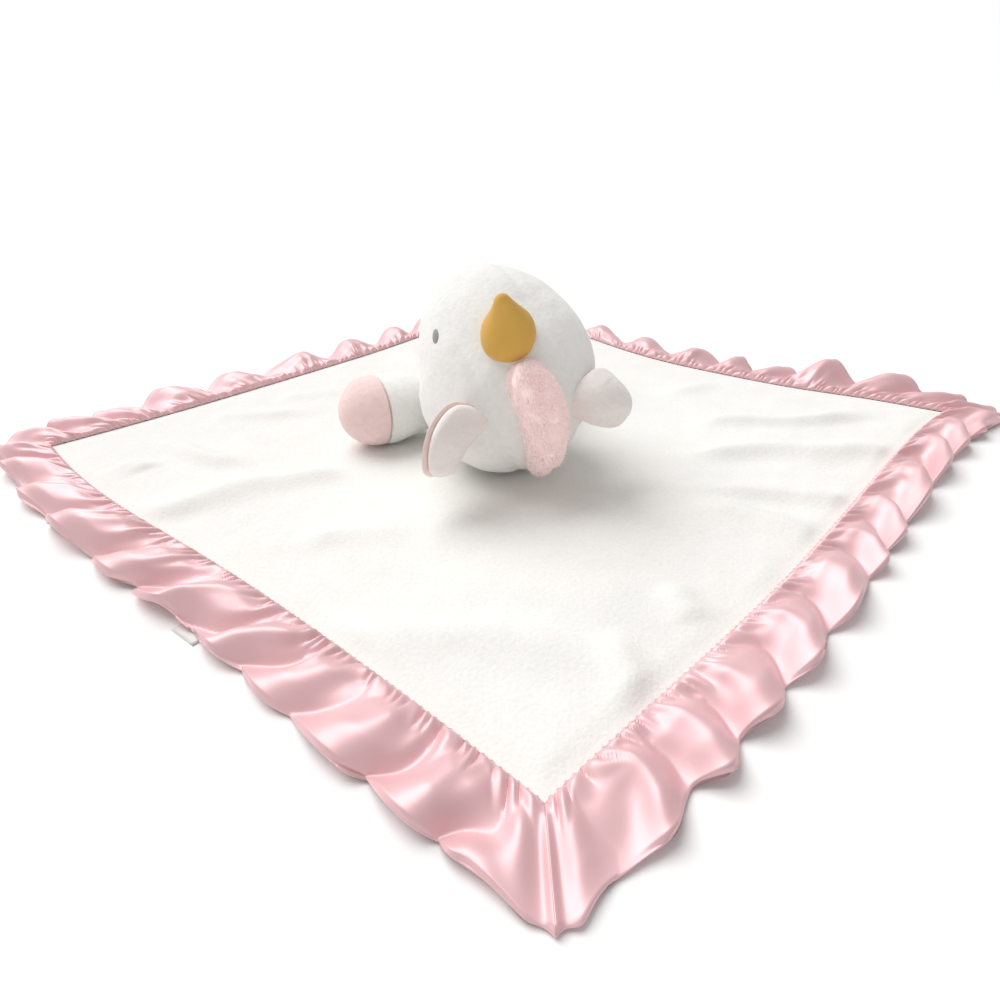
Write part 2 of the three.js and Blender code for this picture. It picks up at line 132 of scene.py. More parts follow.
def ripple(points: np.ndarray, pitch: float, seed: int, waves: int = 7) -> np.ndarray:
    """Smooth seeded unevenness about 0: a sum of sine waves that run in random directions.

    Args:
        points: Points in millimetres, last axis 3.
        pitch: Typical distance between crests in millimetres.
        seed: Number that fixes the random directions and phases.
        waves: Number of waves.

    Returns:
        One value for each point.
    """
    rng = np.random.default_rng(seed)
    ways = unit(rng.normal(size=(waves, 3))) * TURN / pitch * rng.uniform(*RIPPLE_RATE_SHARES, (waves, 1))
    phases = rng.uniform(0, TURN, waves)
    return np.sin(points @ ways.T + phases).sum(-1) / math.sqrt(waves)


def wave_line(x: np.ndarray, pitch: float, seed: int, waves: int = 5) -> np.ndarray:
    """Smooth seeded unevenness along a line: a sum of sines whose pitches lie about the given one.

    Args:
        x: Places along the line in millimetres.
        pitch: Typical distance between crests in millimetres.
        seed: Number that fixes the random pitches and phases.
        waves: Number of sines.

    Returns:
        One value for each place.
    """
    rng = np.random.default_rng(seed)
    rates = TURN / pitch * rng.uniform(*LINE_RATE_SHARES, waves)
    phases = rng.uniform(0, TURN, waves)
    return np.sin(np.multiply.outer(x, rates) + phases).sum(-1) / math.sqrt(waves)


@dataclass(frozen=True)
class Lumps:
    """Seeded unevenness.

    Attributes:
        size: Its size, in millimetres where it moves a surface.
        pitch: Typical distance between its crests in millimetres.
        seed: Number that fixes it.
    """

    size: float
    pitch: float
    seed: int

    def over(self, points: np.ndarray) -> np.ndarray:
        """Unevenness at points of a surface."""
        return self.size * ripple(points, self.pitch, self.seed)

    def along(self, line: np.ndarray, turn: int) -> np.ndarray:
        """Unevenness along a binding, another one on each side."""
        return self.size * wave_line(line, self.pitch, self.seed + SEEDS_PER_SIDE * turn)


# Meshes


class Ends(Enum):
    """How the first and last rows of a grid are closed."""

    OPEN = "open"
    POLES = "poles"


def grid_faces(rows: int, columns: int, loop_columns: bool) -> np.ndarray:
    """Quads of a grid whose point (i, j) has the number i * columns + j.

    Args:
        rows: Number of rows.
        columns: Number of columns.
        loop_columns: Whether the last column joins the first.

    Returns:
        The point numbers of each quad, one quad a line.
    """
    i = np.arange(rows - 1)
    j = np.arange(columns if loop_columns else columns - 1)
    i, j = (a.ravel() for a in np.meshgrid(i, j, indexing="ij"))
    j2 = (j + 1) % columns
    return np.stack([i * columns + j, i * columns + j2, (i + 1) * columns + j2, (i + 1) * columns + j], 1)


def mesh_object(name: str, points: np.ndarray, faces: list[list[int]]) -> bpy.types.Object:
    """Makes a smoothly shaded mesh object at the origin.

    Args:
        name: Name of the piece.
        points: Points in millimetres.
        faces: Point numbers of each face.

    Returns:
        The object.
    """
    mesh = bpy.data.meshes.new(name)
    mesh.from_pydata((points * MM).tolist(), [], faces)
    mesh.validate()
    mesh.polygons.foreach_set("use_smooth", np.ones(len(mesh.polygons), bool))
    obj = bpy.data.objects.new(name, mesh)
    bpy.context.scene.collection.objects.link(obj)
    return obj


def signed_volume(points: np.ndarray, faces: np.ndarray) -> float:
    """Six times the volume under a closed mesh of quads: the sum of triple products of their corners.

    Args:
        points: Points of the mesh.
        faces: Quads of the mesh.

    Returns:
        The volume, positive where the faces point out.
    """
    centred = points - points.mean(0)
    a, b, c, d = (centred[faces[:, k]] for k in range(4))
    return float((a * np.cross(b, c)).sum() + (a * np.cross(c, d)).sum())


def surface(name: str, points: np.ndarray, ends: Ends, loop_columns: bool = True) -> bpy.types.Object:
    """Makes a grid of points an object. Poles are the middles of its first and last rows.

    Args:
        name: Name of the piece.
        points: Points in millimetres, of shape rows by columns by 3.
        ends: How the rows end.
        loop_columns: Whether the last column joins the first.

    Returns:
        The object, its faces outward.
    """
    rows, columns = points.shape[:2]
    flat = points.reshape(-1, 3)
    quads = grid_faces(rows, columns, loop_columns)
    flip = loop_columns and signed_volume(flat, quads) < 0
    if flip:
        quads = quads[:, ::-1]
    faces = quads.tolist()
    if ends is Ends.POLES:
        here = np.arange(columns)
        after = (here + 1) % columns
        last = (rows - 1) * columns
        low = np.stack([after, here, np.full(columns, len(flat))], 1)
        high = np.stack([last + here, last + after, np.full(columns, len(flat) + 1)], 1)
        if flip:
            low, high = low[:, ::-1], high[:, ::-1]
        flat = np.vstack([flat, points[0].mean(0), points[-1].mean(0)])
        faces += low.tolist() + high.tolist()
    return mesh_object(name, flat, faces)


def tubes(name: str, centres: np.ndarray, radii: np.ndarray, sides: int) -> bpy.types.Object:
    """Many closed tapered tubes in one mesh, such as threads or tufts of pile.

    Each ring lies square to its tube's run, at its centre's radius, and the end rings are closed flat.

    Args:
        name: Name of the piece.
        centres: Centres of the rings in millimetres, of shape tubes by rings by 3.
        radii: Radius at each ring, of shape tubes by rings.
        sides: Number of sides of each tube.

    Returns:
        The object.
    """
    count, rings = centres.shape[:2]
    run = unit(np.gradient(centres, axis=1))
    nearly_up = 0.9
    other = np.where(np.abs(run[..., 2:]) > nearly_up, np.array([1.0, 0, 0]), UP)
    side = unit(np.cross(run, other))
    third = np.cross(side, run)
    around = np.arange(sides) / sides * TURN
    spoke = side[:, :, None] * np.cos(around)[:, None] + third[:, :, None] * np.sin(around)[:, None]
    points = centres[:, :, None] + spoke * radii[:, :, None, None]
    one = grid_faces(rings, sides, True)
    starts = np.arange(count) * rings * sides
    walls = (one[None] + starts[:, None, None]).reshape(-1, 4)
    bottom = starts[:, None] + np.arange(sides)[None]
    top = starts[:, None] + (rings - 1) * sides + np.arange(sides)[None, ::-1]
    if signed_volume(points[0].reshape(-1, 3), one) < 0:
        walls, bottom, top = walls[:, ::-1], bottom[:, ::-1], top[:, ::-1]
    faces = walls.tolist() + bottom[:, ::-1].tolist() + top[:, ::-1].tolist()
    return mesh_object(name, points.reshape(-1, 3), faces)


def refine(obj: bpy.types.Object) -> None:
    """Adds one level of subdivision surface, in view and render alike."""
    modifier = obj.modifiers.new("smooth", "SUBSURF")
    modifier.levels = 1
    modifier.render_levels = modifier.levels


def thicken(obj: bpy.types.Object, wall: float) -> None:
    """Adds a cloth wall behind the surface, in millimetres, with its rim closed."""
    modifier = obj.modifiers.new("wall", "SOLIDIFY")
    modifier.thickness = wall * MM
    modifier.offset = -1


# Finishes


def socket(group: bpy.types.NodeTree, name: str, way: str, kind: str, value: object = None) -> None:
    """Adds a named socket to a node group.

    Args:
        group: The node group.
        name: Name of the socket.
        way: INPUT or OUTPUT.
        kind: Type of the socket, such as NodeSocketFloat.
        value: Default value, or None to leave it.
    """
    made = group.interface.new_socket(name, in_out=way, socket_type=kind)
    if value is not None:
        made.default_value = value


def add_node(
    tree: bpy.types.NodeTree, kind: str, feeds: dict[int | str, object], **settings: str
) -> bpy.types.Node:
    """Adds a node, and links each input that is fed a socket and sets each input that is fed a value.

    Args:
        tree: Node tree that takes the node.
        kind: Type of the node.
        feeds: What feeds each input, by number or name.
        settings: Properties of the node, set first.

    Returns:
        The node.
    """
    made = tree.nodes.new(kind)
    for name, setting in settings.items():
        setattr(made, name, setting)
    for key, feed in feeds.items():
        if isinstance(feed, bpy.types.NodeSocket):
            tree.links.new(feed, made.inputs[key])
        else:
            made.inputs[key].default_value = feed
    return made


def add_math(tree: bpy.types.NodeTree, operation: str, *feeds: object) -> bpy.types.NodeSocket:
    """Adds a Math node, fed in order, and gives its output."""
    return add_node(tree, "ShaderNodeMath", dict(enumerate(feeds)), operation=operation).outputs[0]


def add_blend(tree: bpy.types.NodeTree, share: object, first: object, second: object) -> bpy.types.NodeSocket:
    """Adds a colour Mix node, which goes from the first colour to the second, and gives its output."""
    return add_node(tree, "ShaderNodeMix", {0: share, 6: first, 7: second}, data_type="RGBA").outputs[2]


def pile_group() -> bpy.types.NodeTree:
    """Short or long pile: raised tufts, darkened to the root colour in their hollows as painted shade.

    A coarse noise gathers the pile in patches, a middle one makes tufts and a fine one makes fibres. Their
    sum is the height, and it mixes the root colour into the tip colour: painted shade in the low places, and
    random tone across the patches.

    Returns:
        The node group.
    """
    layer_shares = (0.12, 1.0, 4.5)
    layer_details = (2.0, 3.0, 2.0)
    fibre_share = 0.35
    shade_start_share = 0.35
    bump_strength = 0.7
    group = bpy.data.node_groups.new("Pile", "ShaderNodeTree")
    socket(group, "Tip Colour", "INPUT", "NodeSocketColor", (1, 1, 1, 1))
    socket(group, "Root Shade Colour", "INPUT", "NodeSocketColor", (0.8, 0.8, 0.8, 1))
    socket(group, "Tufts per Metre", "INPUT", "NodeSocketFloat", 300.0)
    socket(group, "Tuft Height", "INPUT", "NodeSocketFloat", 0.0008)
    socket(group, "Patchiness", "INPUT", "NodeSocketFloat", 0.3)
    socket(group, "Colour", "OUTPUT", "NodeSocketColor")
    socket(group, "Normal", "OUTPUT", "NodeSocketVector")
    given = add_node(group, "NodeGroupInput", {}).outputs
    place = add_node(group, "ShaderNodeTexCoord", {}).outputs["Object"]
    layers = []
    for share, detail in zip(layer_shares, layer_details):
        rate = add_math(group, "MULTIPLY", given["Tufts per Metre"], share)
        noise = add_node(group, "ShaderNodeTexNoise", {"Vector": place, "Scale": rate, "Detail": detail})
        layers.append(noise.outputs["Fac"])
    coarse, tuft, fibre = layers
    patch = add_math(group, "MULTIPLY", coarse, given["Patchiness"])
    height = add_math(group, "ADD", add_math(group, "MULTIPLY_ADD", fibre, fibre_share, tuft), patch)
    # Low places of the pile take the darker root colour: painted shade between the tufts, with random tone
    # from the patches.
    shade = add_node(group, "ShaderNodeMapRange", {"Value": height, "From Min": shade_start_share})
    colour = add_blend(group, shade.outputs["Result"], given["Root Shade Colour"], given["Tip Colour"])
    bump = add_node(group, "ShaderNodeBump", {
        "Strength": bump_strength, "Height": height, "Distance": given["Tuft Height"],
    })
    add_node(group, "NodeGroupOutput", {"Colour": colour, "Normal": bump.outputs["Normal"]})
    return group


def weave_group() -> bpy.types.NodeTree:
    """Woven cloth: warp and weft ridges as two crossed sine bands, with slubs that vary colour and gloss.

    The height is the larger of the two bands. The slubs are a noise that mixes the two colours.

    Returns:
        The node group.
    """
    band_distortion = 0.4
    slub_detail = 3.0
    bump_strength = 0.25
    group = bpy.data.node_groups.new("Weave", "ShaderNodeTree")
    socket(group, "Colour A", "INPUT", "NodeSocketColor", (1, 1, 1, 1))
    socket(group, "Colour B", "INPUT", "NodeSocketColor", (0.8, 0.8, 0.8, 1))
    socket(group, "Threads per Metre", "INPUT", "NodeSocketFloat", 2500.0)
    socket(group, "Thread Height", "INPUT", "NodeSocketFloat", 0.0001)
    socket(group, "Slub Scale", "INPUT", "NodeSocketFloat", 60.0)
    socket(group, "Gloss Low", "INPUT", "NodeSocketFloat", 0.3)
    socket(group, "Gloss High", "INPUT", "NodeSocketFloat", 0.4)
    socket(group, "Colour", "OUTPUT", "NodeSocketColor")
    socket(group, "Roughness", "OUTPUT", "NodeSocketFloat")
    socket(group, "Normal", "OUTPUT", "NodeSocketVector")
    given = add_node(group, "NodeGroupInput", {}).outputs
    place = add_node(group, "ShaderNodeTexCoord", {}).outputs["Object"]
    feeds = {"Vector": place, "Scale": given["Threads per Metre"], "Distortion": band_distortion}
    warp, weft = (
        add_node(group, "ShaderNodeTexWave", feeds, bands_direction=way).outputs["Fac"] for way in ("X", "Y")
    )
    ridges = add_math(group, "MAXIMUM", warp, weft)
    slub = add_node(group, "ShaderNodeTexNoise", {
        "Vector": place, "Scale": given["Slub Scale"], "Detail": slub_detail,
    }).outputs["Fac"]
    colour = add_blend(group, slub, given["Colour A"], given["Colour B"])
    gloss = add_node(group, "ShaderNodeMapRange", {
        "Value": slub, "To Min": given["Gloss Low"], "To Max": given["Gloss High"],
    })
    bump = add_node(group, "ShaderNodeBump", {
        "Strength": bump_strength, "Height": ridges, "Distance": given["Thread Height"],
    })
    add_node(group, "NodeGroupOutput", {
        "Colour": colour, "Roughness": gloss.outputs["Result"], "Normal": bump.outputs["Normal"],
    })
    return group


def new_material(name: str, settings: dict[str, float | tuple]) -> bpy.types.Material:
    """A material whose Principled shader has some inputs set.

    Args:
        name: Name of the material.
        settings: Values of the shader's inputs, by name.

    Returns:
        The material.
    """
    material = bpy.data.materials.new(name)
    material.use_nodes = True
    inputs = material.node_tree.nodes["Principled BSDF"].inputs
    for key, value in settings.items():
        inputs[key].default_value = value
    return material


def wire(
    material: bpy.types.Material, group: bpy.types.NodeTree, values: dict[str, object], feeds: dict[str, str]
) -> None:
    """Places a node group in a material, sets its inputs and links its outputs to the Principled shader.

    Args:
        material: The material.
        group: The node group.
        values: Values of the group's inputs, by name.
        feeds: Name of the group's output that feeds each input of the shader.
    """
    tree = material.node_tree
    effect = tree.nodes.new("ShaderNodeGroup")
    effect.node_tree = group
    for name, value in values.items():
        effect.inputs[name].default_value = value
    for key, output in feeds.items():
        tree.links.new(effect.outputs[output], tree.nodes["Principled BSDF"].inputs[key])


@dataclass(frozen=True)
class Pile:
    """A plush finish.

    Attributes:
        name: Name of the material.
        slot: Material slot of the record; not used.
        tip: Colour of the pile's tips, linear.
        root: Darker colour in the low places between the tufts, painted shade, linear.
        tufts: Tufts in a metre.
        rise: Height of the tufts in millimetres.
        patches: How much the pile gathers in patches.
        sheen: Weight of the soft light at the edges.
        painted_glow: Strength at which the pile glows in its own colour, painted light that brightens it
            though it is no lamp.
        roughness: Roughness of the fibres.
        specular: Specular level.
        sheen_roughness: Roughness of the soft light.
    """

    name: str
    slot: str
    tip: Triple
    root: Triple
    tufts: float = 420.0
    rise: float = 0.5
    patches: float = 0.4
    sheen: float = 0.25
    painted_glow: float = 0.0
    roughness: float = 0.95
    specular: float = 0.1
    sheen_roughness: float = 0.6

    def build(self, group: bpy.types.NodeTree) -> bpy.types.Material:
        """Makes the material: pile colour and bump on a rough surface with sheen, the colour also glowing as
        painted light.

        Args:
            group: The pile's node group.

        Returns:
            The material.
        """
        material = new_material(self.name, {
            "Emission Strength": self.painted_glow,
            "Roughness": self.roughness,
            "Specular IOR Level": self.specular,
            "Sheen Weight": self.sheen,
            "Sheen Roughness": self.sheen_roughness,
        })
        values = {
            "Tip Colour": (*self.tip, 1),
            "Root Shade Colour": (*self.root, 1),
            "Tufts per Metre": self.tufts,
            "Tuft Height": self.rise * MM,
            "Patchiness": self.patches,
        }
        # The pile colour also feeds the emission: painted light, a glow at the strength set above.
        feeds = {"Base Color": "Colour", "Emission Color": "Colour", "Normal": "Normal"}
        wire(material, group, values, feeds)
        return material


@dataclass(frozen=True)
class Woven:
    """A woven finish, from glossy satin to matte cloth and thread.

    Attributes:
        name: Name of the material.
        slot: Material slot of the record; not used.
        light: Colour of the lighter threads, linear.
        dark: Colour of the darker threads, linear.
        gloss: Roughness at the shiniest and the dullest places.
        threads: Threads in a metre.
        relief: Height of the threads in millimetres.
        specular: Specular level.
        sheen: Weight of the soft light at the edges.
        metal: How much of the light the threads mirror in their own colour.
        sheen_roughness: Roughness of the soft light.
    """

    name: str
    slot: str
    light: Triple
    dark: Triple
    gloss: tuple[float, float]
    threads: float = 4000.0
    relief: float = 0.05
    specular: float = 0.5
    sheen: float = 0.1
    metal: float = 0.0
    sheen_roughness: float = 0.5

    def build(self, group: bpy.types.NodeTree) -> bpy.types.Material:
        """Makes the material: weave colour, gloss and bump.

        Args:
            group: The weave's node group.

        Returns:
            The material.
        """
        material = new_material(self.name, {
            "Specular IOR Level": self.specular,
            "Metallic": self.metal,
            "Sheen Weight": self.sheen,
            "Sheen Roughness": self.sheen_roughness,
        })
        values = {
            "Colour A": (*self.light, 1),
            "Colour B": (*self.dark, 1),
            "Threads per Metre": self.threads,
            "Thread Height": self.relief * MM,
            "Gloss Low": self.gloss[0],
            "Gloss High": self.gloss[1],
        }
        feeds = {"Base Color": "Colour", "Roughness": "Roughness", "Normal": "Normal"}
        wire(material, group, values, feeds)
        return material


class Finish(Enum):
    """The finishes of the lovey."""

    WHITE = Pile(
        name="white plush", slot="white_plush", tip=(0.90, 0.89, 0.86), root=(0.82, 0.81, 0.78),
        tufts=700, rise=0.35,
    )
    # The toy's white plush, a little lighter than the blanket's: painted light on the head, body and arms.
    LIT_TOY = Pile(
        name="lit white toy plush", slot="white_plush", tip=(0.92, 0.915, 0.89), root=(0.84, 0.835, 0.81),
    )
    # The ears' white plush, darker and warmer than the head's: painted shade on the ears.
    SHADED_EAR = Pile(
        name="shaded ear plush", slot="white_plush", tip=(0.93, 0.88, 0.85), root=(0.82, 0.76, 0.72),
        tufts=300, rise=0.9, patches=0.8,
    )
    HOOF = Pile(
        name="pink plush", slot="pink_plush", tip=(0.95, 0.735, 0.715), root=(0.88, 0.62, 0.60), rise=0.6,
    )
    LINING = Pile(
        name="ear lining plush", slot="pink_plush", tip=(0.92, 0.73, 0.70), root=(0.82, 0.61, 0.58),
        tufts=300, rise=0.9, patches=0.8,
    )
    # The mane glows faintly in its own colour: painted light that brightens it.
    MANE = Pile(
        name="mane pile", slot="pink_pile", tip=(1.0, 0.80, 0.78), root=(1.0, 0.76, 0.73),
        tufts=260, rise=0.2, patches=0.8, sheen=0.5, painted_glow=0.17,
    )
    SATIN = Woven(
        name="pink satin", slot="pink_satin", light=(0.88, 0.58, 0.60), dark=(0.81, 0.50, 0.525),
        gloss=(0.42, 0.5), threads=3000, relief=0.015, metal=0.27,
    )
    GOLD = Woven(
        name="gold cloth", slot="gold_cloth", light=(0.74, 0.44, 0.10), dark=(0.68, 0.40, 0.085),
        gloss=(0.75, 0.9), threads=1600, relief=0.12, specular=0.25,
    )
    LABEL = Woven(
        name="label ribbon", slot="label_ribbon", light=(0.82, 0.80, 0.77), dark=(0.76, 0.74, 0.71),
        gloss=(0.45, 0.6), threads=2200,
    )
    PINK_THREAD = Woven(
        name="pink thread", slot="pink_satin", light=(0.92, 0.64, 0.67), dark=(0.86, 0.56, 0.60),
        gloss=(0.4, 0.6),
    )
    DARK_THREAD = Woven(
        name="dark thread", slot="white_plush", light=(0.34, 0.36, 0.34), dark=(0.27, 0.29, 0.27),
        gloss=(0.45, 0.6),
    )
    ROSE_THREAD = Woven(
        name="rose thread", slot="pink_plush", light=(0.55, 0.30, 0.28), dark=(0.45, 0.24, 0.22),
        gloss=(0.5, 0.7),
    )


class Wardrobe:
    """Builds each finish once and puts it on the pieces."""

    def __init__(self) -> None:
        """Builds the two shared node groups and every material."""
        groups = {Pile: pile_group(), Woven: weave_group()}
        self.materials = {finish: finish.value.build(groups[type(finish.value)]) for finish in Finish}

    def dress(self, obj: bpy.types.Object, finish: Finish, body: str, *nodes: str) -> bpy.types.Object:
        """Gives a piece its finish, its body and the nodes that it stands for.

        Args:
            obj: The piece.
            finish: Its finish.
            body: Name of the body that it moves with.
            nodes: Names of the nodes that it replaces.

        Returns:
            The piece.
        """
        obj.data.materials.clear()
        obj.data.materials.append(self.materials[finish])
        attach(obj, body)
        if nodes:
            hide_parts(*nodes)
        log.info("%s: %d faces, on %s", obj.name, len(obj.data.polygons), body)
        return obj


# Blanket


@dataclass(frozen=True)
class Lay:
    """Size of the blanket, and how it has slipped from a flat square.

    Each slip is its place, its reach and its size, in shares of the side.
    """

    side: float = 380.0
    binding_width: float = 25.4
    front_slip_shares: tuple[Triple, ...] = (
        (-0.526, 0.25, 0.066), (-0.158, 0.184, 0.012), (0.22, 0.25, 0.0335), (0.724, 0.105, 0.026),
    )
    back_slip_shares: tuple[Triple, ...] = (
        (-0.447, 0.289, 0.0763), (-0.184, 0.158, 0.0368), (0.258, 0.158, 0.1158), (0.4526, 0.1263, 0.0684),
        (0.645, 0.105, 0.0447),
    )
    tip_share: float = 0.1
    held_place: tuple[float, float] = (0.0, -12.0)
    held_reach: float = 21.0
    slip_blend: float = 60.0

    @property
    def half(self) -> float:
        """Half the side of the panel that shows, in millimetres."""
        return self.side / 2 - self.binding_width

    def slipped(self, points: np.ndarray) -> np.ndarray:
        """Slips the flat cloth forward, other than where the toy is sewn on and at the front and back tips.

        The slip is a sum of bell curves across the blanket, one sum for the front half and one for the back
        half, blended by the share of the way from the front edge to the back edge.

        Args:
            points: Points of the flat cloth.

        Returns:
            The same points, slipped.
        """
        x, y = points[..., 0], points[..., 1]
        share = x / self.side

        def slip(bumps: tuple[Triple, ...]) -> np.ndarray:
            return sum(size * bell((share - place) / reach) for place, reach, size in bumps)

        away = np.hypot(x - self.held_place[0], y - self.held_place[1])
        tip = smooth(np.abs(y) * math.sqrt(2) / self.side, 2 * self.half / self.side, 1)
        free = smooth(away, self.held_reach, self.held_reach + self.slip_blend) * (1 - tip)
        edge = np.maximum(1 / math.sqrt(2) - np.abs(share), self.tip_share) * self.side
        slips = mix(slip(self.front_slip_shares), slip(self.back_slip_shares), smooth(y / edge, -1, 1))
        result = points.copy()
        result[..., 1] -= free * self.side * slips
        return result


@dataclass
class Panels:
    """The two plush panels, clasped at their rims by the bindings.

    A crease is its start and end, in shares of half the panel, and its height as a share of a full one. A
    pair of shares says where a form begins and is full.
    """

    wardrobe: Wardrobe
    lay: Lay
    shoulder: tuple[float, float]
    seam_allowance: float = 8.0
    wall: float = 1.0
    top_height: float = 4.8
    back_height: float = 1.6
    seam_slope: float = 9.0
    seam_dip: float = 0.9
    least_relief: float = -0.5
    lumps: tuple[Lumps, ...] = (Lumps(0.35, 46.0, 5), Lumps(0.12, 16.0, 6))
    waver_share: float = 0.02
    waver_pitch: float = 70.0
    waver_seeds: tuple[int, int] = (11, 12)
    crease_rise: float = 4.4
    crease_width: float = 7.5
    crease_shares: tuple[tuple[float, float, float, float, float], ...] = (
        (0.49, 0.10, 1.215, 0.02, 0.9), (0.38, -0.14, 1.17, -0.29, 1.0), (0.38, -0.36, 0.90, -0.56, 0.8),
        (0.46, -0.46, 0.70, -0.75, 0.7), (0.43, 0.30, 0.75, 0.46, 0.6), (0.29, -0.87, 0.36, -1.0, 0.6),
        (0.15, -1.04, 0.22, -1.29, 0.6), (-0.44, -0.97, 0.18, -1.15, 0.6), (-1.04, -0.46, -0.36, -0.25, 1.0),
        (-0.53, -0.63, -0.26, -0.66, 0.6), (-1.12, 0.05, -0.73, -0.19, 0.8), (-1.16, -0.15, -1.05, -0.2, 0.6),
        (-1.0, 0.23, -0.61, 0.19, 0.6), (-0.78, 0.39, -0.58, 0.40, 0.5), (0.1, 0.62, 0.25, 0.95, 0.6),
        (-0.3, 0.6, -0.42, 0.85, 0.6),
    )
    crease_start_shares: tuple[float, float] = (-0.05, 0.35)
    crease_end_shares: tuple[float, float] = (-0.05, 0.3)
    mound_rise: float = 4.0
    mound_reach: float = 40.0
    mound_shares: tuple[float, float] = (0.05, -0.9)
    swing_reach: float = 68.0
    swing_blend: float = 24.0
    swing_dip: float = 0.45
    top_count: int = 221
    back_count: int = 101

    def square(self, count: int) -> tuple[np.ndarray, np.ndarray]:
        """A flat grid on the diamond of a panel.

        Args:
            count: Points along a side.

        Returns:
            The points, and for each one a share, from 1 on the open panel to 0 inside the binding.
        """
        half = self.lay.half + self.seam_allowance
        steps = np.linspace(-half, half, count)
        b, a = np.meshgrid(steps, steps, indexing="ij")
        points = np.stack([(a - b) / math.sqrt(2), (a + b) / math.sqrt(2), np.zeros_like(a)], -1)
        from_rim = half - np.maximum(np.abs(a), np.abs(b))
        return points, smooth(from_rim, self.seam_allowance, self.seam_allowance + self.seam_slope)

    def relief(self, points: np.ndarray) -> np.ndarray:
        """Height of the top panel over its flat level: ridges about the creases, a mound and unevenness.

        Each ridge is a bell curve of the distance from its line, full at the middle of the line and flat at
        its ends. The lines waver, by an unevenness added to the points before the distance is taken.

        Args:
            points: Points of the flat panel.

        Returns:
            The height at each point.
        """
        plan = points[..., :2] / self.lay.half
        waver = np.stack([ripple(points, self.waver_pitch, seed) for seed in self.waver_seeds], -1)
        plan = plan + self.waver_share * waver
        height = sum(lumps.over(points) for lumps in self.lumps)
        for x0, y0, x1, y1, share in self.crease_shares:
            start, end = np.array([x0, y0]), np.array([x1, y1])
            along = (plan - start) @ (end - start) / np.linalg.norm(end - start) ** 2
            nearest = start + np.clip(along, 0, 1)[..., None] * (end - start)
            away = np.linalg.norm(plan - nearest, axis=-1) * self.lay.half / self.crease_width
            ends = smooth(along, *self.crease_start_shares) * smooth(1 - along, *self.crease_end_shares)
            height = height + self.crease_rise * share * bell(away) * ends
        from_mound = np.linalg.norm(plan - np.array(self.mound_shares), axis=-1) * self.lay.half
        return height + self.mound_rise * bell(from_mound / self.mound_reach)

    def swept(self, points: np.ndarray) -> np.ndarray:
        """Where the arms swing over the slipped panel: 1 within their reach of the shoulders, easing to 0.

        Args:
            points: Points of the flat panel.

        Returns:
            The share at each point.
        """
        slipped = self.lay.slipped(points)
        beside = np.maximum(np.abs(slipped[..., 0]) - self.shoulder[0], 0)
        away = np.hypot(beside, slipped[..., 1] - self.shoulder[1])
        return 1 - smooth(away, self.swing_reach, self.swing_reach + self.swing_blend)

    def finished(self, name: str, points: np.ndarray, node: str) -> bpy.types.Object:
        """Makes a panel's points a sheet of plush and dresses it.

        Args:
            name: Name of the piece.
            points: Its points, flat in plan.
            node: The node that it replaces.

        Returns:
            The piece.
        """
        obj = surface(name, self.lay.slipped(points), Ends.OPEN, loop_columns=False)
        thicken(obj, self.wall)
        return self.wardrobe.dress(obj, Finish.WHITE, "blanket", node)

    def top(self) -> bpy.types.Object:
        """The panel under the toy: creased, level where the arms swing, and drawn down at its seam."""
        points, open_share = self.square(self.top_count)
        relief = mix(self.relief(points), -self.swing_dip, self.swept(points)) * open_share
        dip = self.seam_dip * (1 - open_share)
        points[..., 2] = self.top_height - dip + np.maximum(relief, self.least_relief)
        return self.finished("top_panel", points, "blanket_top_panel")

    def back(self) -> bpy.types.Object:
        """The panel that the lovey lies on: nearly flat, its rim lifted into the binding."""
        points, open_share = self.square(self.back_count)
        lifted_height = self.top_height - self.seam_dip - 2 * self.wall
        points[..., 2] = mix(lifted_height, self.back_height, open_share)
        return self.finished("back_panel", points, "blanket_back_panel")


@dataclass(frozen=True)
class Side:
    """One side of the blanket.

    Attributes:
        name: Its name.
        turn: Quarter turns from the back right side.
        valley_shares: Places of the deep valleys between puffs, as shares of the length at the seam.
        lean_shares: Shift of the folds between seam and edge, at the start, middle and end of the side.
        bulge_share: Shift of the folds at mid width, which curves them.
        skew: Power that moves the crests towards the start of the side, below 1, or towards its end.
        flip_shares: Places where the edge is flipped up.
        swells: Places, reaches and sizes of swellings of the edge, the sizes in millimetres.
    """

    name: str
    turn: int
    valley_shares: tuple[float, ...]
    lean_shares: Triple
    bulge_share: float = 0.0
    skew: float = 1.0
    flip_shares: tuple[float, ...] = ()
    swells: tuple[Triple, ...] = ()

    @property
    def outward(self) -> np.ndarray:
        """Direction from the middle of the blanket to the middle of the side."""
        aim = (self.turn + 0.5) * QUARTER
        return np.array([math.cos(aim), math.sin(aim), 0])

    @property
    def along(self) -> np.ndarray:
        """Direction from the start of the side to its end."""
        return np.cross(UP, self.outward)


SIDES = (
    Side(
        "back_right", 0, (0.055, 0.12, 0.215, 0.326, 0.4, 0.469, 0.568, 0.66, 0.75, 0.85, 0.93),
        (-0.01, 0.0, 0.01), flip_shares=(0.168, 0.275),
    ),
    Side(
        "back_left", 1, (0.08, 0.17, 0.26, 0.342, 0.455, 0.578, 0.683, 0.8, 0.864, 0.929),
        (-0.01, 0.0, 0.01),
    ),
    Side(
        "front_left", 2, (0.08, 0.169, 0.289, 0.438, 0.554, 0.665, 0.736, 0.809, 0.895, 0.965),
        (-0.02, -0.085, -0.06), bulge_share=-0.008, skew=0.85, swells=((1.0, 0.05, 3.6), (0.78, 0.12, 2.0)),
    ),
    Side(
        "front_right", 3, (0.03, 0.095, 0.172, 0.257, 0.358, 0.469, 0.54, 0.614, 0.738, 0.842, 0.93),
        (0.045, -0.01, -0.08), bulge_share=0.025, swells=((0.0, 0.05, 3.6), (0.06, 0.03, 3.0)),
    ),
)


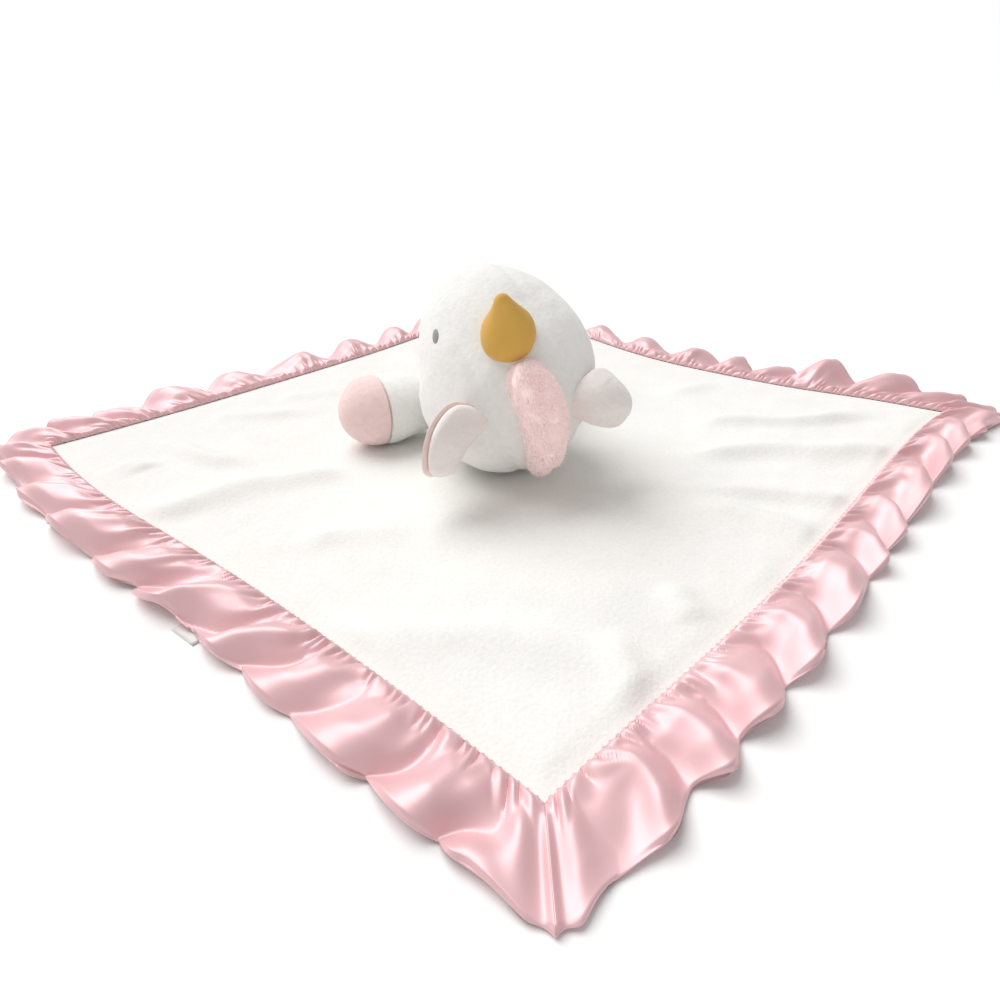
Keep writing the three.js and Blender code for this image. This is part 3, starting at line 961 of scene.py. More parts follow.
@dataclass
class Binding:
    """One gathered satin binding, folded over the rims of both panels.

    Shares across run from the seam to the edge. A pair of them says where a form begins and is full, or where
    it begins to fade and is gone.
    """

    wardrobe: Wardrobe
    lay: Lay
    side: Side
    wall: float = 0.4
    seam_height: float = 4.45
    under_height: float = 0.5
    seam_hold_shares: tuple[float, float] = (0.34, 0.65)
    slope_start_share: float = 0.1
    edge_thickness: float = 1.0
    edge_lift: float = 5.2
    lift_share: float = 0.8
    edge_wave: float = 4.0
    flip_rise: float = 5.5
    flip_reach: float = 12.0
    puff_rise: float = 5.0
    puff_pitch: float = 28.0
    puff_power: float = 0.6
    crest_power: float = 0.72
    crown_shares: tuple[float, float] = (0.0, 0.42)
    fall_shares: tuple[float, float] = (0.7, 1.0)
    fall_share: float = 0.5
    lean_place_shares: Triple = (0.15, 0.5, 0.85)
    calm_share: float = 0.1
    corner_share: float = 0.03
    waver_share: float = 0.005
    waver_pitch: float = 34.0
    waver_seed: int = 21
    fold_rise: float = 1.5
    fold_pitch: float = 9.5
    fold_height_share: float = 0.6
    fold_start_shares: tuple[float, float] = (0.0, 0.12)
    fold_end_shares: tuple[float, float] = (0.3, 0.85)
    pucker_rise: float = 2.7
    pucker_pitch: float = 4.6
    pucker_sink_share: float = 0.1
    pucker_start_share: float = 0.05
    pucker_reach_share: float = 0.22
    pucker_near_share: float = 0.2
    pucker_fade_share: float = 0.12
    hollow_start: float = 3.0
    hollow_reach: float = 20.0
    mitre_rise: float = 1.6
    mitre_width: float = 2.0
    mitre_start_share: float = 0.15
    tip_blunt: float = 3.0
    blunt_share: float = 0.025
    gather_ratio: float = 1.25
    place_lumps: Lumps = Lumps(1.6, 60.0, 31)
    height_lumps: Lumps = Lumps(0.4, 23.0, 32)
    pucker_lumps: Lumps = Lumps(0.9, 17.0, 33)
    pucker_reach_lumps: Lumps = Lumps(0.08, 11.0, 34)
    lift_lumps: Lumps = Lumps(0.2, 90.0, 35)
    edge_lumps: Lumps = Lumps(0.7, 34.0, 36)
    rows: tuple[int, int, int] = (34, 9, 12)
    columns: int = 901
    thread_radius: float = 0.12
    thread_sides: int = 6
    stitch_pitch: float = 3.1
    stitch_points: int = 5
    stitch_on_share: float = 0.03
    stitch_share: float = 0.05
    stitch_drop: float = 8.0
    stitch_stand: float = 1.2
    stitch_low_share: float = 0.3

    def folds(self, share: np.ndarray, across: np.ndarray) -> tuple[np.ndarray, np.ndarray, np.ndarray]:
        """The gathers at points of the binding.

        The folds lean or curve from the seam to the edge: the place along the seam is the place here, less a
        lean that grows with the square of the way across, and less a bulge that is largest at mid width.
        Between two valleys the fullness is one wave of a cosine, raised to a power that broadens its crest.

        Args:
            share: Share of the way along.
            across: Share of the way from the seam to the edge.

        Returns:
            The share of the seam where the fold here starts, how full the gather is, from 0 in a valley to 1
            on a crest, and how large its puff is.
        """
        side = self.side
        starts = np.array([0.0, *side.valley_shares, 1.0])
        calm = off_ends(share, self.calm_share)
        lean = np.interp(share, self.lean_place_shares, side.lean_shares) * calm
        bulge = side.bulge_share * np.sin(math.pi * np.clip(across, 0, 1)) * calm
        spot = np.stack([share * self.lay.side, across * self.lay.binding_width, 0 * share], -1)
        waver = self.waver_share * ripple(spot, self.waver_pitch, self.waver_seed + side.turn) * calm
        place = np.clip(share - lean * np.minimum(across, 1) ** 2 - bulge - waver, 0, 1)
        index = np.clip(np.searchsorted(starts, place, side="right") - 1, 0, len(starts) - 2)
        low, high = starts[index], starts[index + 1]
        way = np.clip((place - low) / (high - low), 0, 1) ** side.skew
        fullness = (0.5 - 0.5 * np.cos(TURN * way)) ** self.crest_power
        size = ((high - low) * 2 * self.lay.half / self.puff_pitch) ** self.puff_power
        return place, fullness, size

    def rise(self, line: np.ndarray, near: np.ndarray, puff: np.ndarray) -> np.ndarray:
        """Height of the gathers over the slope: puffs, small folds that fan out from the seam, and puckers.

        The small folds are a sine whose phase and height are uneven. The puckers are the square root of a
        sine's size, which makes them round with sharp valleys, and they reach unevenly far.

        Args:
            line: Where on the seam the fold here starts, in millimetres.
            near: Share of the way across.
            puff: Fullness times size of the puff.

        Returns:
            The height.
        """
        turn = self.side.turn
        small = 0.5 + 0.5 * np.sin(TURN * line / self.fold_pitch + self.place_lumps.along(line, turn))
        small *= self.fold_height_share + self.height_lumps.along(line, turn)
        small *= smooth(near, *self.fold_start_shares) * (1 - smooth(near, *self.fold_end_shares))
        phase = math.pi * line / self.pucker_pitch + self.pucker_lumps.along(line, turn)
        reach = self.pucker_reach_share + self.pucker_reach_lumps.along(line, turn)
        puckers = np.sqrt(np.abs(np.sin(phase))) - self.pucker_sink_share
        puckers *= smooth(near, 0, self.pucker_start_share)
        puckers *= 1 - smooth(near, self.pucker_near_share * reach, reach + self.pucker_fade_share)
        crown = smooth(near, *self.crown_shares) * (1 - self.fall_share * smooth(near, *self.fall_shares))
        return self.puff_rise * puff * crown + self.fold_rise * small + self.pucker_rise * puckers

    def lift(self, share: np.ndarray, line: np.ndarray, puff: np.ndarray) -> np.ndarray:
        """Height that the edge is lifted: with the puffs, and by a bell curve at each flip.

        Args:
            share: Share of the way along.
            line: Where on the seam the fold here starts, in millimetres.
            puff: Fullness times size of the puff.

        Returns:
            The height, never below 0.
        """
        lift = self.edge_lift * puff * (self.lift_share + self.lift_lumps.along(line, self.side.turn))
        for spot in self.side.flip_shares:
            lift = lift + self.flip_rise * bell((share - spot) * self.lay.side / self.flip_reach)
        return np.maximum(lift, 0)

    def width(self, share: np.ndarray, line: np.ndarray, fullness: np.ndarray) -> np.ndarray:
        """How much wider than the plain strip the edge is: swellings, less the wave and the blunt tip.

        Args:
            share: Share of the way along.
            line: Where on the seam the fold here starts, in millimetres.
            fullness: How full the gather is.

        Returns:
            The difference in millimetres.
        """
        wave = self.edge_wave * (1 - fullness) + self.edge_lumps.along(line, self.side.turn)
        blunt = self.tip_blunt * (1 - smooth(np.minimum(share, 1 - share), 0, self.blunt_share))
        swells = (size * bell((share - spot) / reach) for spot, reach, size in self.side.swells)
        return sum(swells, 0 * share) - wave * off_ends(share, self.corner_share) - blunt

    def strip(self, share: np.ndarray, across: np.ndarray, upper: np.ndarray) -> np.ndarray:
        """Points of the binding.

        The upper layer slopes from the seam to the edge with the gathers on it, never under the panels' rims.
        The lower layer rises to the edge with the cube of the way across, and the edge is half a circle
        between them. The gathers fade towards the corners, where a low ridge follows the mitre.

        Args:
            share: Share of the way along.
            across: Share of the way from the seam to the edge; from 1 to 2, the way round the edge.
            upper: 1 on the upper layer, 0 on the lower one.

        Returns:
            The points in millimetres.
        """
        near = np.minimum(across, 1)
        roll = np.clip(across - 1, 0, 1)
        thick = self.edge_thickness / 2
        place, fullness, size = self.folds(share, across)
        line = place * 2 * self.lay.half
        puff = fullness * size
        from_mitre = np.minimum(share, 1 - share) * 2 * (self.lay.half + self.lay.binding_width * near)
        full = smooth(from_mitre, 0, self.hollow_start + self.hollow_reach * near)
        middle = self.under_height + thick + self.lift(share, line, puff) * full
        top = mix(self.seam_height, middle + thick, smooth(near, self.slope_start_share, 1))
        top = top + self.rise(line, near, puff) * full
        ridge = bell(from_mitre / self.mitre_width) * smooth(near, 0, self.mitre_start_share)
        top = top + self.mitre_rise * ridge
        top = np.maximum(top, self.seam_height * (1 - smooth(near, *self.seam_hold_shares)))
        bottom = mix(self.under_height, middle - thick, near**3)
        height = np.where(upper > 0.5, top, bottom)
        height = np.where(across > 1, middle + thick * np.cos(math.pi * roll), height)
        width = self.lay.binding_width * near + self.width(share, line, fullness) * near**2
        width = width - thick + thick * (near**6 + np.sin(math.pi * roll))
        far = (self.lay.half + width)[..., None]
        run = (2 * share - 1)[..., None] * far
        points = far * self.side.outward + run * self.side.along
        points[..., 2] = height
        return self.lay.slipped(points)

    def cloth(self) -> bpy.types.Object:
        """The satin strip."""
        up, over, down = self.rows
        round_edge = np.linspace(1, 2, over)[1:-1]
        across = np.concatenate([np.linspace(0, 1, up), round_edge, np.linspace(1, 0, down)])
        upper = np.concatenate([np.ones(up + len(round_edge)), np.zeros(down)])
        share, across = np.meshgrid(np.linspace(0, 1, self.columns), across, indexing="ij")
        points = self.strip(share, across, np.broadcast_to(upper, share.shape))
        obj = surface(f"{self.side.name}_binding", points, Ends.OPEN, loop_columns=False)
        thicken(obj, self.wall)
        return self.wardrobe.dress(obj, Finish.SATIN, "blanket", f"ruffle_{self.side.name}")

    def stitches(self) -> bpy.types.Object:
        """Zigzag thread that sews the binding down, each stitch arching from on the satin to just off it."""
        count = 2 * int(2 * self.lay.half / self.stitch_pitch)
        ends = (np.arange(count + 1) + 0.5) / (count + 1)
        steps = np.linspace(0, 1, self.stitch_points)
        share = ends[:-1, None] + (ends[1:] - ends[:-1])[:, None] * steps
        way_off = np.where((np.arange(count) % 2)[:, None] == 0, steps, 1 - steps)
        across = self.stitch_on_share - self.stitch_share * way_off
        points = self.strip(share, np.maximum(across, 0), np.ones_like(share))
        past_seam = np.minimum(across, 0)
        points = points + past_seam[..., None] * self.lay.binding_width * self.side.outward
        arch = self.stitch_stand * self.thread_radius * (self.stitch_low_share + np.sin(math.pi * steps))
        points[..., 2] += past_seam * self.stitch_drop + arch
        radii = np.full(share.shape, self.thread_radius)
        obj = tubes(f"{self.side.name}_stitches", points, radii, self.thread_sides)
        return self.wardrobe.dress(obj, Finish.PINK_THREAD, "blanket")

    def build(self) -> None:
        """Makes and dresses the binding and its stitches."""
        self.cloth()
        self.stitches()


@dataclass
class Label:
    """The blank care label, a ribbon under the front left binding with its end showing."""

    wardrobe: Wardrobe
    lay: Lay
    side: Side
    width: float = 14.0
    along: float = 29.0
    show: float = 0.6
    height: float = 0.4
    wall: float = 0.32
    counts: tuple[int, int] = (14, 9)

    def build(self) -> bpy.types.Object:
        """Makes and dresses the label."""
        length = self.lay.binding_width + self.show
        far_steps = np.linspace(0, length, self.counts[0])
        wide_steps = np.linspace(-self.width / 2, self.width / 2, self.counts[1])
        far, wide = np.meshgrid(far_steps, wide_steps, indexing="ij")
        points = (self.lay.half + far)[..., None] * self.side.outward
        points = points + (self.along + wide)[..., None] * self.side.along
        points[..., 2] = self.height
        obj = surface("care_label_ribbon", self.lay.slipped(points)[:, ::-1], Ends.OPEN, loop_columns=False)
        thicken(obj, self.wall)
        return self.wardrobe.dress(obj, Finish.LABEL, "blanket", "care_label")


@dataclass
class Blanket:
    """A square of two plush panels clasped by gathered satin bindings with mitred corners."""

    wardrobe: Wardrobe
    shoulder: tuple[float, float]
    lay: Lay = Lay()
    label_side: Side = SIDES[2]

    def build(self) -> None:
        """Makes and dresses the whole blanket."""
        panels = Panels(self.wardrobe, self.lay, self.shoulder)
        panels.top()
        panels.back()
        Label(self.wardrobe, self.lay, self.label_side).build()
        for side in SIDES:
            Binding(self.wardrobe, self.lay, side).build()


# Stuffed toy


@dataclass
class Torso:
    """The neck, chest and shoulders that are sewn into the blanket."""

    wardrobe: Wardrobe
    neck: Triple = (0.0, -12.0, 24.0)
    neck_radius: float = 12.6
    chest_radii: Triple = (16.0, 14.0, 12.0)
    chest_height: float = 8.0
    shoulder: Triple = (20.0, -6.0, 20.0)
    shoulder_radius: float = 8.1
    bottom: float = 2.6
    blend: float = 3.0
    middle: Triple = (0.0, -10.0, 15.0)
    search_reach: float = 60.0
    search_steps: int = 26
    counts: tuple[int, int] = (45, 72)
    pole_gap: float = 0.05
    padding: float = 0.7

    def inside(self, points: np.ndarray) -> np.ndarray:
        """Distance from the torso's surface: the soft minimum of those from the balls and the shoulder bar.

        The soft minimum is minus the logarithm of the sum of the exponentials of minus the distances.

        Args:
            points: Points in millimetres.

        Returns:
            The distance at each point, below zero inside.
        """
        shoulder = np.array(self.shoulder)
        chest = np.array([self.neck[0], self.neck[1], self.chest_height])
        radii = np.array(self.chest_radii)
        bar = points - shoulder
        bar[..., 0] = np.maximum(np.abs(points[..., 0]) - shoulder[0], 0)
        away = np.stack([
            np.linalg.norm(points - np.array(self.neck), axis=-1) - self.neck_radius,
            (np.linalg.norm((points - chest) / radii, axis=-1) - 1) * radii.min(),
            np.linalg.norm(bar, axis=-1) - self.shoulder_radius,
        ])
        return -np.log(np.exp(-away / self.blend).sum(0)) * self.blend

    def build(self) -> bpy.types.Object:
        """Makes the torso: from its middle, the surface is found in each direction by halving the way."""
        middle = np.array(self.middle)
        aims = directions(*self.counts, self.pole_gap)
        low, high = np.zeros(self.counts), np.full(self.counts, self.search_reach)
        for _ in range(self.search_steps):
            guess = (low + high) / 2
            within = self.inside(middle + aims * guess[..., None]) < 0
            low, high = np.where(within, guess, low), np.where(within, high, guess)
        points = middle + aims * low[..., None]
        points[..., 2] = np.maximum(points[..., 2], self.bottom)
        obj = surface("body", points, Ends.POLES)
        refine(obj)
        return self.wardrobe.dress(obj, Finish.LIT_TOY, "blanket", "body_cover", "body_filling")


@dataclass
class Skull:
    """Form of the stuffed head. Its own frame has +Y to the face and +Z to the crown."""

    place: Triple = (0.4, -54.1, 46.2)
    lean: float = 22.0
    yaw: float = 14.0
    radii: Triple = (39.5, 41.5, 43.0)
    muzzle_proud: float = 9.5
    muzzle_drop: float = 20.0
    muzzle_power: int = 4
    mould_reach: float = 0.42
    moulds: tuple[tuple[Triple, float], ...] = (
        ((-0.29, 0.90, -0.33), 1.8), ((0.25, 0.94, -0.25), -2.0), ((0.74, 0.67, -0.04), 0.2),
        ((0.96, 0.12, 0.25), -0.9), ((0.86, -0.29, 0.43), -1.2), ((-0.81, 0.54, -0.23), -1.8),
        ((-1.00, -0.02, 0.02), 3.1), ((-0.86, -0.44, 0.24), 2.4), ((0.04, -0.82, 0.57), 0.7),
        ((0.48, -0.67, 0.57), -4.0),
    )
    seam_depth: float = 0.9
    seam_width: float = 1.8
    seam_place: float = 13.0
    seam_spread: float = 5.0
    seam_fade_shares: tuple[float, float] = (-0.4, 0.1)
    lumps: tuple[Lumps, ...] = (Lumps(0.35, 26.0, 41), Lumps(0.12, 9.0, 42))
    turn: np.ndarray = field(init=False)

    def __post_init__(self) -> None:
        """Works out how the head is turned: about X to lie down, then leaned about Y, then turned about Z."""
        lean, yaw = math.radians(self.lean), math.radians(self.yaw)
        self.turn = turned(yaw, "Z") @ turned(-lean, "Y") @ turned(QUARTER, "X")

    def world(self, points: np.ndarray) -> np.ndarray:
        """Takes points from the head's frame to the part's."""
        return points @ self.turn.T + np.array(self.place)

    def radius(self, aims: np.ndarray) -> np.ndarray:
        """Distance of the head's surface from its middle: an ellipsoid that swells to a muzzle in front.

        The swelling is a power of how nearly a direction points to the muzzle. Soft swells and dents are
        added, each a bell curve of the angle from its own direction, as the stuffing has settled.

        Args:
            aims: Directions from the middle.

        Returns:
            The distance in each direction.
        """
        skull = 1 / np.linalg.norm(aims / np.array(self.radii), axis=-1)
        for place, size in self.moulds:
            skull = skull + size * np.exp((aims @ np.array(place) - 1) / self.mould_reach**2)
        drop = math.radians(self.muzzle_drop)
        towards = np.maximum(0, aims[..., 1] * math.cos(drop) - aims[..., 2] * math.sin(drop))
        return skull + self.muzzle_proud * towards**self.muzzle_power

    def seams(self, aims: np.ndarray) -> np.ndarray:
        """Depth of the gusset seams, two lines that run over the head on either side of its middle.

        Args:
            aims: Directions from the middle.

        Returns:
            The depth in each direction.
        """
        wide = self.seam_place + self.seam_spread * aims[..., 2]
        away = (np.abs(aims[..., 0]) * self.radii[0] - wide) / self.seam_width
        return self.seam_depth * bell(away) * smooth(aims[..., 2], *self.seam_fade_shares)

    def skin(self, aims: np.ndarray, proud: float | np.ndarray = 0.0) -> np.ndarray:
        """Points of the head's surface in its own frame.

        Args:
            aims: Directions from the middle.
            proud: How far the points stand out from the surface.

        Returns:
            The points.
        """
        uneven = sum(lumps.over(aims * self.radii[0]) for lumps in self.lumps)
        return aims * (self.radius(aims) - self.seams(aims) + uneven + proud)[..., None]


@dataclass
class Horn:
    """The gold horn: a stuffed teardrop that leans over at its tip."""

    wardrobe: Wardrobe
    skull: Skull
    length: float = 20.8
    base_radius: float = 11.2
    seat: float = 47.4
    aim: float = 28.7
    side: float = 1.6
    sunk: float = 5.0
    root: float = 3.0
    lean: float = -1.5
    bow: float = -1.2
    way_shares: tuple[float, ...] = (0.0, 0.07, 0.14, 0.23, 0.32, 0.41, 0.5, 0.66, 0.8, 0.92, 0.975, 1.0)
    wide_shares: tuple[float, ...] = (0.86, 0.95, 1.0, 0.99, 0.94, 0.85, 0.73, 0.52, 0.35, 0.25, 0.16, 0.05)
    tip_share: float = 0.92
    counts: tuple[int, int, int] = (40, 40, 8)
    smoothing: int = 5
    lumps: Lumps = Lumps(0.18, 14.0, 51)
    padding: float = 0.8

    def sides(self) -> tuple[np.ndarray, np.ndarray]:
        """Shares of the way along the horn, and its width there, averaged so that no kink shows."""
        rows, _, tip_rows = self.counts
        root_share = -self.root / (self.length + self.sunk)
        tip = mix(self.tip_share, 1.0, np.sin(np.linspace(0, QUARTER, tip_rows + 1)[1:]))
        way = np.concatenate([np.linspace(root_share, self.tip_share, rows), tip])
        wide = np.interp(way, self.way_shares, self.wide_shares)
        ends = self.smoothing // 2
        even = np.convolve(wide, np.ones(self.smoothing) / self.smoothing, "same")
        return way, np.concatenate([wide[:ends], even[ends:-ends], wide[-ends:]])

    def build(self) -> bpy.types.Object:
        """Makes the horn upright, leans it with the square of the way along, and seats it on the head."""
        way, wide = self.sides()
        around = np.arange(self.counts[1]) / self.counts[1] * TURN
        x = self.base_radius * wide[:, None] * np.cos(around)
        z = self.base_radius * wide[:, None] * np.sin(around)
        y = np.broadcast_to((way * (self.length + self.sunk))[:, None], x.shape)
        x = x - self.lean * (y / self.length) ** 2
        x = x - self.bow * np.sin(math.pi * np.clip(way, 0, 1))[:, None]
        points = np.stack([x, y, z], -1)
        points += self.lumps.over(points)[..., None] * unit(points * np.array([1, 0, 1]))
        points = points @ turned(math.radians(self.aim), "X").T
        seat = math.radians(self.seat)
        out = turned(-math.radians(self.side), "Z") @ np.array([0, math.cos(seat), math.sin(seat)])
        points += out * (self.skull.radius(out) - self.sunk)
        obj = surface("horn", self.skull.world(points), Ends.POLES)
        refine(obj)
        return self.wardrobe.dress(obj, Finish.GOLD, "head", "horn_cover", "horn_filling")


@dataclass
class Mane:
    """The pink mane: a lumpy half-sunk roll of pile over the crown, with short curved tufts all over it.

    The shares of a tuft are its least and most length and width, and its radius at each ring.
    """

    wardrobe: Wardrobe
    skull: Skull
    half_widths: tuple[float, ...] = (10.4, 10.7, 8.7, 8.7, 8.4)
    half_width_shares: tuple[float, ...] = (0, 0.2, 0.45, 0.7, 1)
    shifts: tuple[float, ...] = (-0.2, -0.4, 2.9, 8.3)
    prouds: tuple[float, ...] = (12.9, 11.9, 10.6, 9.2)
    start: float = 61.5
    end: float = 134.0
    end_power: float = 0.35
    end_gap: float = 0.001
    lumps: tuple[Lumps, ...] = (Lumps(0.2, 9.0, 61), Lumps(0.08, 3.4, 62))
    counts: tuple[int, int] = (90, 96)
    padding: float = 0.6
    tuft_count: int = 13000
    tuft_length: float = 2.4
    tuft_radius: float = 0.3
    tuft_radius_shares: Triple = (1.0, 0.9, 0.25)
    tuft_length_shares: tuple[float, float] = (0.6, 1.1)
    tuft_width_shares: tuple[float, float] = (0.7, 1.2)
    tuft_sides: int = 3
    tuft_root_share: float = 0.25
    tuft_rise: float = 0.3
    tuft_fall: float = 0.12
    tuft_seed: int = 63
    overhang: float = 0.15
    comb_step: float = 0.05
    fan_shares: tuple[float, float] = (0.9, 1.0)
    stray_pitch: float = 9.0
    stray_share: float = 0.35
    wild_share: float = 0.25

    def ring(self, share: np.ndarray, around: np.ndarray) -> np.ndarray:
        """Points of the roll in the head's frame, along an arc from the horn over the crown.

        Args:
            share: Share of the way along.
            around: Angle round the roll in radians, a quarter turn at its top.

        Returns:
            The points.
        """
        turn = np.radians(mix(self.start, self.end, share))
        aims = np.stack([np.zeros_like(turn), np.cos(turn), np.sin(turn)], -1)
        swell = np.sin(math.pi * np.clip(share, self.end_gap, 1 - self.end_gap)) ** self.end_power
        even_shares = np.linspace(0, 1, len(self.prouds))
        height = np.interp(share, even_shares, self.prouds) * swell * np.sin(around)
        half = np.interp(share, self.half_width_shares, self.half_widths) * swell
        points = aims * (self.skull.radius(aims) + height)[..., None]
        points[..., 0] += half * np.cos(around) - np.interp(share, even_shares, self.shifts)
        return points

    def roll(self) -> bpy.types.Object:
        """The roll of pile that the tufts grow from."""
        rows, columns = self.counts
        way = 0.5 - 0.5 * np.cos(math.pi * np.linspace(0, 1, rows))
        share, around = np.meshgrid(way, np.arange(columns) / columns * TURN, indexing="ij")
        points = self.ring(share, around)
        out = unit(points - points.mean(1, keepdims=True))
        points += out * sum(lumps.over(points) for lumps in self.lumps)[..., None]
        obj = surface("mane_pile", self.skull.world(points), Ends.POLES)
        return self.wardrobe.dress(obj, Finish.MANE, "head", "mane")

    def tufts(self) -> bpy.types.Object:
        """The tufts: each leaves the roll, bends over and lies the way that the pile is combed."""
        count = self.tuft_count
        rng = np.random.default_rng(self.tuft_seed)
        share = 0.5 - 0.5 * np.cos(math.pi * rng.uniform(0, 1, count))
        around = rng.uniform(-self.overhang, math.pi + self.overhang, count)
        roots = self.ring(share, around)
        out = unit(roots - self.ring(share, np.full(count, -QUARTER)))
        ahead = np.minimum(share + self.comb_step, 1.0)
        combed = unit(self.ring(ahead, around) - roots)
        fanned = unit(roots - self.ring(ahead, np.full(count, QUARTER)))
        combed = unit(mix(combed, fanned, smooth(share, *self.fan_shares)[:, None]))
        stray = np.stack([ripple(roots, self.stray_pitch, self.tuft_seed + k) for k in (1, 2, 3)], -1)
        wild = rng.normal(size=(count, 3))
        flow = unit(combed + self.stray_share * stray + self.wild_share * wild)
        length = self.tuft_length * rng.uniform(*self.tuft_length_shares, (count, 1, 1))
        way = np.linspace(-self.tuft_root_share, 1, len(self.tuft_radius_shares))[None, :, None]
        outside = np.maximum(way, 0)
        rise = self.tuft_rise * way - self.tuft_fall * outside**2
        centres = roots[:, None] + length * (rise * out[:, None] + outside * flow[:, None])
        radius = self.tuft_radius * rng.uniform(*self.tuft_width_shares, (count, 1))
        radii = radius * np.array(self.tuft_radius_shares)
        obj = tubes("mane_tufts", self.skull.world(centres), radii, self.tuft_sides)
        return self.wardrobe.dress(obj, Finish.MANE, "head")

    def build(self) -> None:
        """Makes and dresses the mane."""
        self.roll()
        self.tufts()


@dataclass
class Head:
    """The stuffed head with its face, horn and mane."""

    wardrobe: Wardrobe
    skull: Skull = field(default_factory=Skull)
    counts: tuple[int, int] = (90, 150)
    pole_gap: float = 0.04
    padding: float = 0.85
    eyes: tuple[tuple[int, str, Triple], ...] = (
        (-1, "left", (-22.9, 35.2, 9.9)), (1, "right", (24.0, 33.0, -16.0)),
    )
    eye_radii: tuple[float, float] = (2.0, 3.1)
    eye_slant: float = -43.0
    nostril: Triple = (6.5, 45.0, -22.0)
    nostril_radii: tuple[float, float] = (1.0, 1.6)
    pad_dome: float = 0.5
    pad_shares: tuple[float, float] = (0.1, 0.95)
    pad_counts: tuple[int, int, int] = (7, 4, 40)

    def cover(self) -> bpy.types.Object:
        """The head's plush cover, with poles at its sides under the ears."""
        points = self.skull.skin(directions(*self.counts, self.pole_gap))
        obj = surface("head", self.skull.world(points), Ends.POLES)
        refine(obj)
        return self.wardrobe.dress(obj, Finish.LIT_TOY, "head", "head_cover", "head_filling")

    def pad(
        self, name: str, place: np.ndarray, radii: tuple[float, float], slant: float, finish: Finish
    ) -> bpy.types.Object:
        """An oval of satin stitch on the plush: a low dome above it, and the same oval below the surface.

        Args:
            name: Name of the piece.
            place: A point near its middle, in the head's frame.
            radii: Half its width, and half its height towards the crown.
            slant: Turn of the oval about its middle in degrees.
            finish: Its thread.

        Returns:
            The piece.
        """
        start = unit(place)
        level = unit(np.cross(UP, start))
        angle = math.radians(slant)
        across = level * math.cos(angle) + np.cross(start, level) * math.sin(angle)
        up = np.cross(start, across)
        inner, outer = self.pad_shares
        over_count, under_count, columns = self.pad_counts
        over = np.linspace(inner, 1, over_count)
        under = np.linspace(outer, inner, under_count)
        way = np.concatenate([over, under])
        proud = self.pad_dome * np.concatenate([1 - over**2, -np.ones(under_count)])
        way, turn = np.meshgrid(way, np.arange(columns) / columns * TURN, indexing="ij")
        wide = radii[0] * way * np.cos(turn) / np.linalg.norm(place)
        high = radii[1] * way * np.sin(turn) / np.linalg.norm(place)
        aims = unit(start + wide[..., None] * across + high[..., None] * up)
        points = self.skull.skin(aims, np.broadcast_to(proud[:, None], way.shape))
        obj = surface(name, self.skull.world(points), Ends.POLES)
        return self.wardrobe.dress(obj, finish, "head")

    def face(self) -> None:
        """Oval eyes and small nostrils."""
        for side, name, eye in self.eyes:
            self.pad(f"{name}_eye", np.array(eye), self.eye_radii, -side * self.eye_slant, Finish.DARK_THREAD)
            nostril = np.array(self.nostril) * np.array([side, 1, 1])
            self.pad(f"{name}_nostril", nostril, self.nostril_radii, 0.0, Finish.ROSE_THREAD)

    def build(self) -> None:
        """Makes and dresses the head."""
        self.cover()
        Horn(self.wardrobe, self.skull).build()
        Mane(self.wardrobe, self.skull).build()
        self.face()


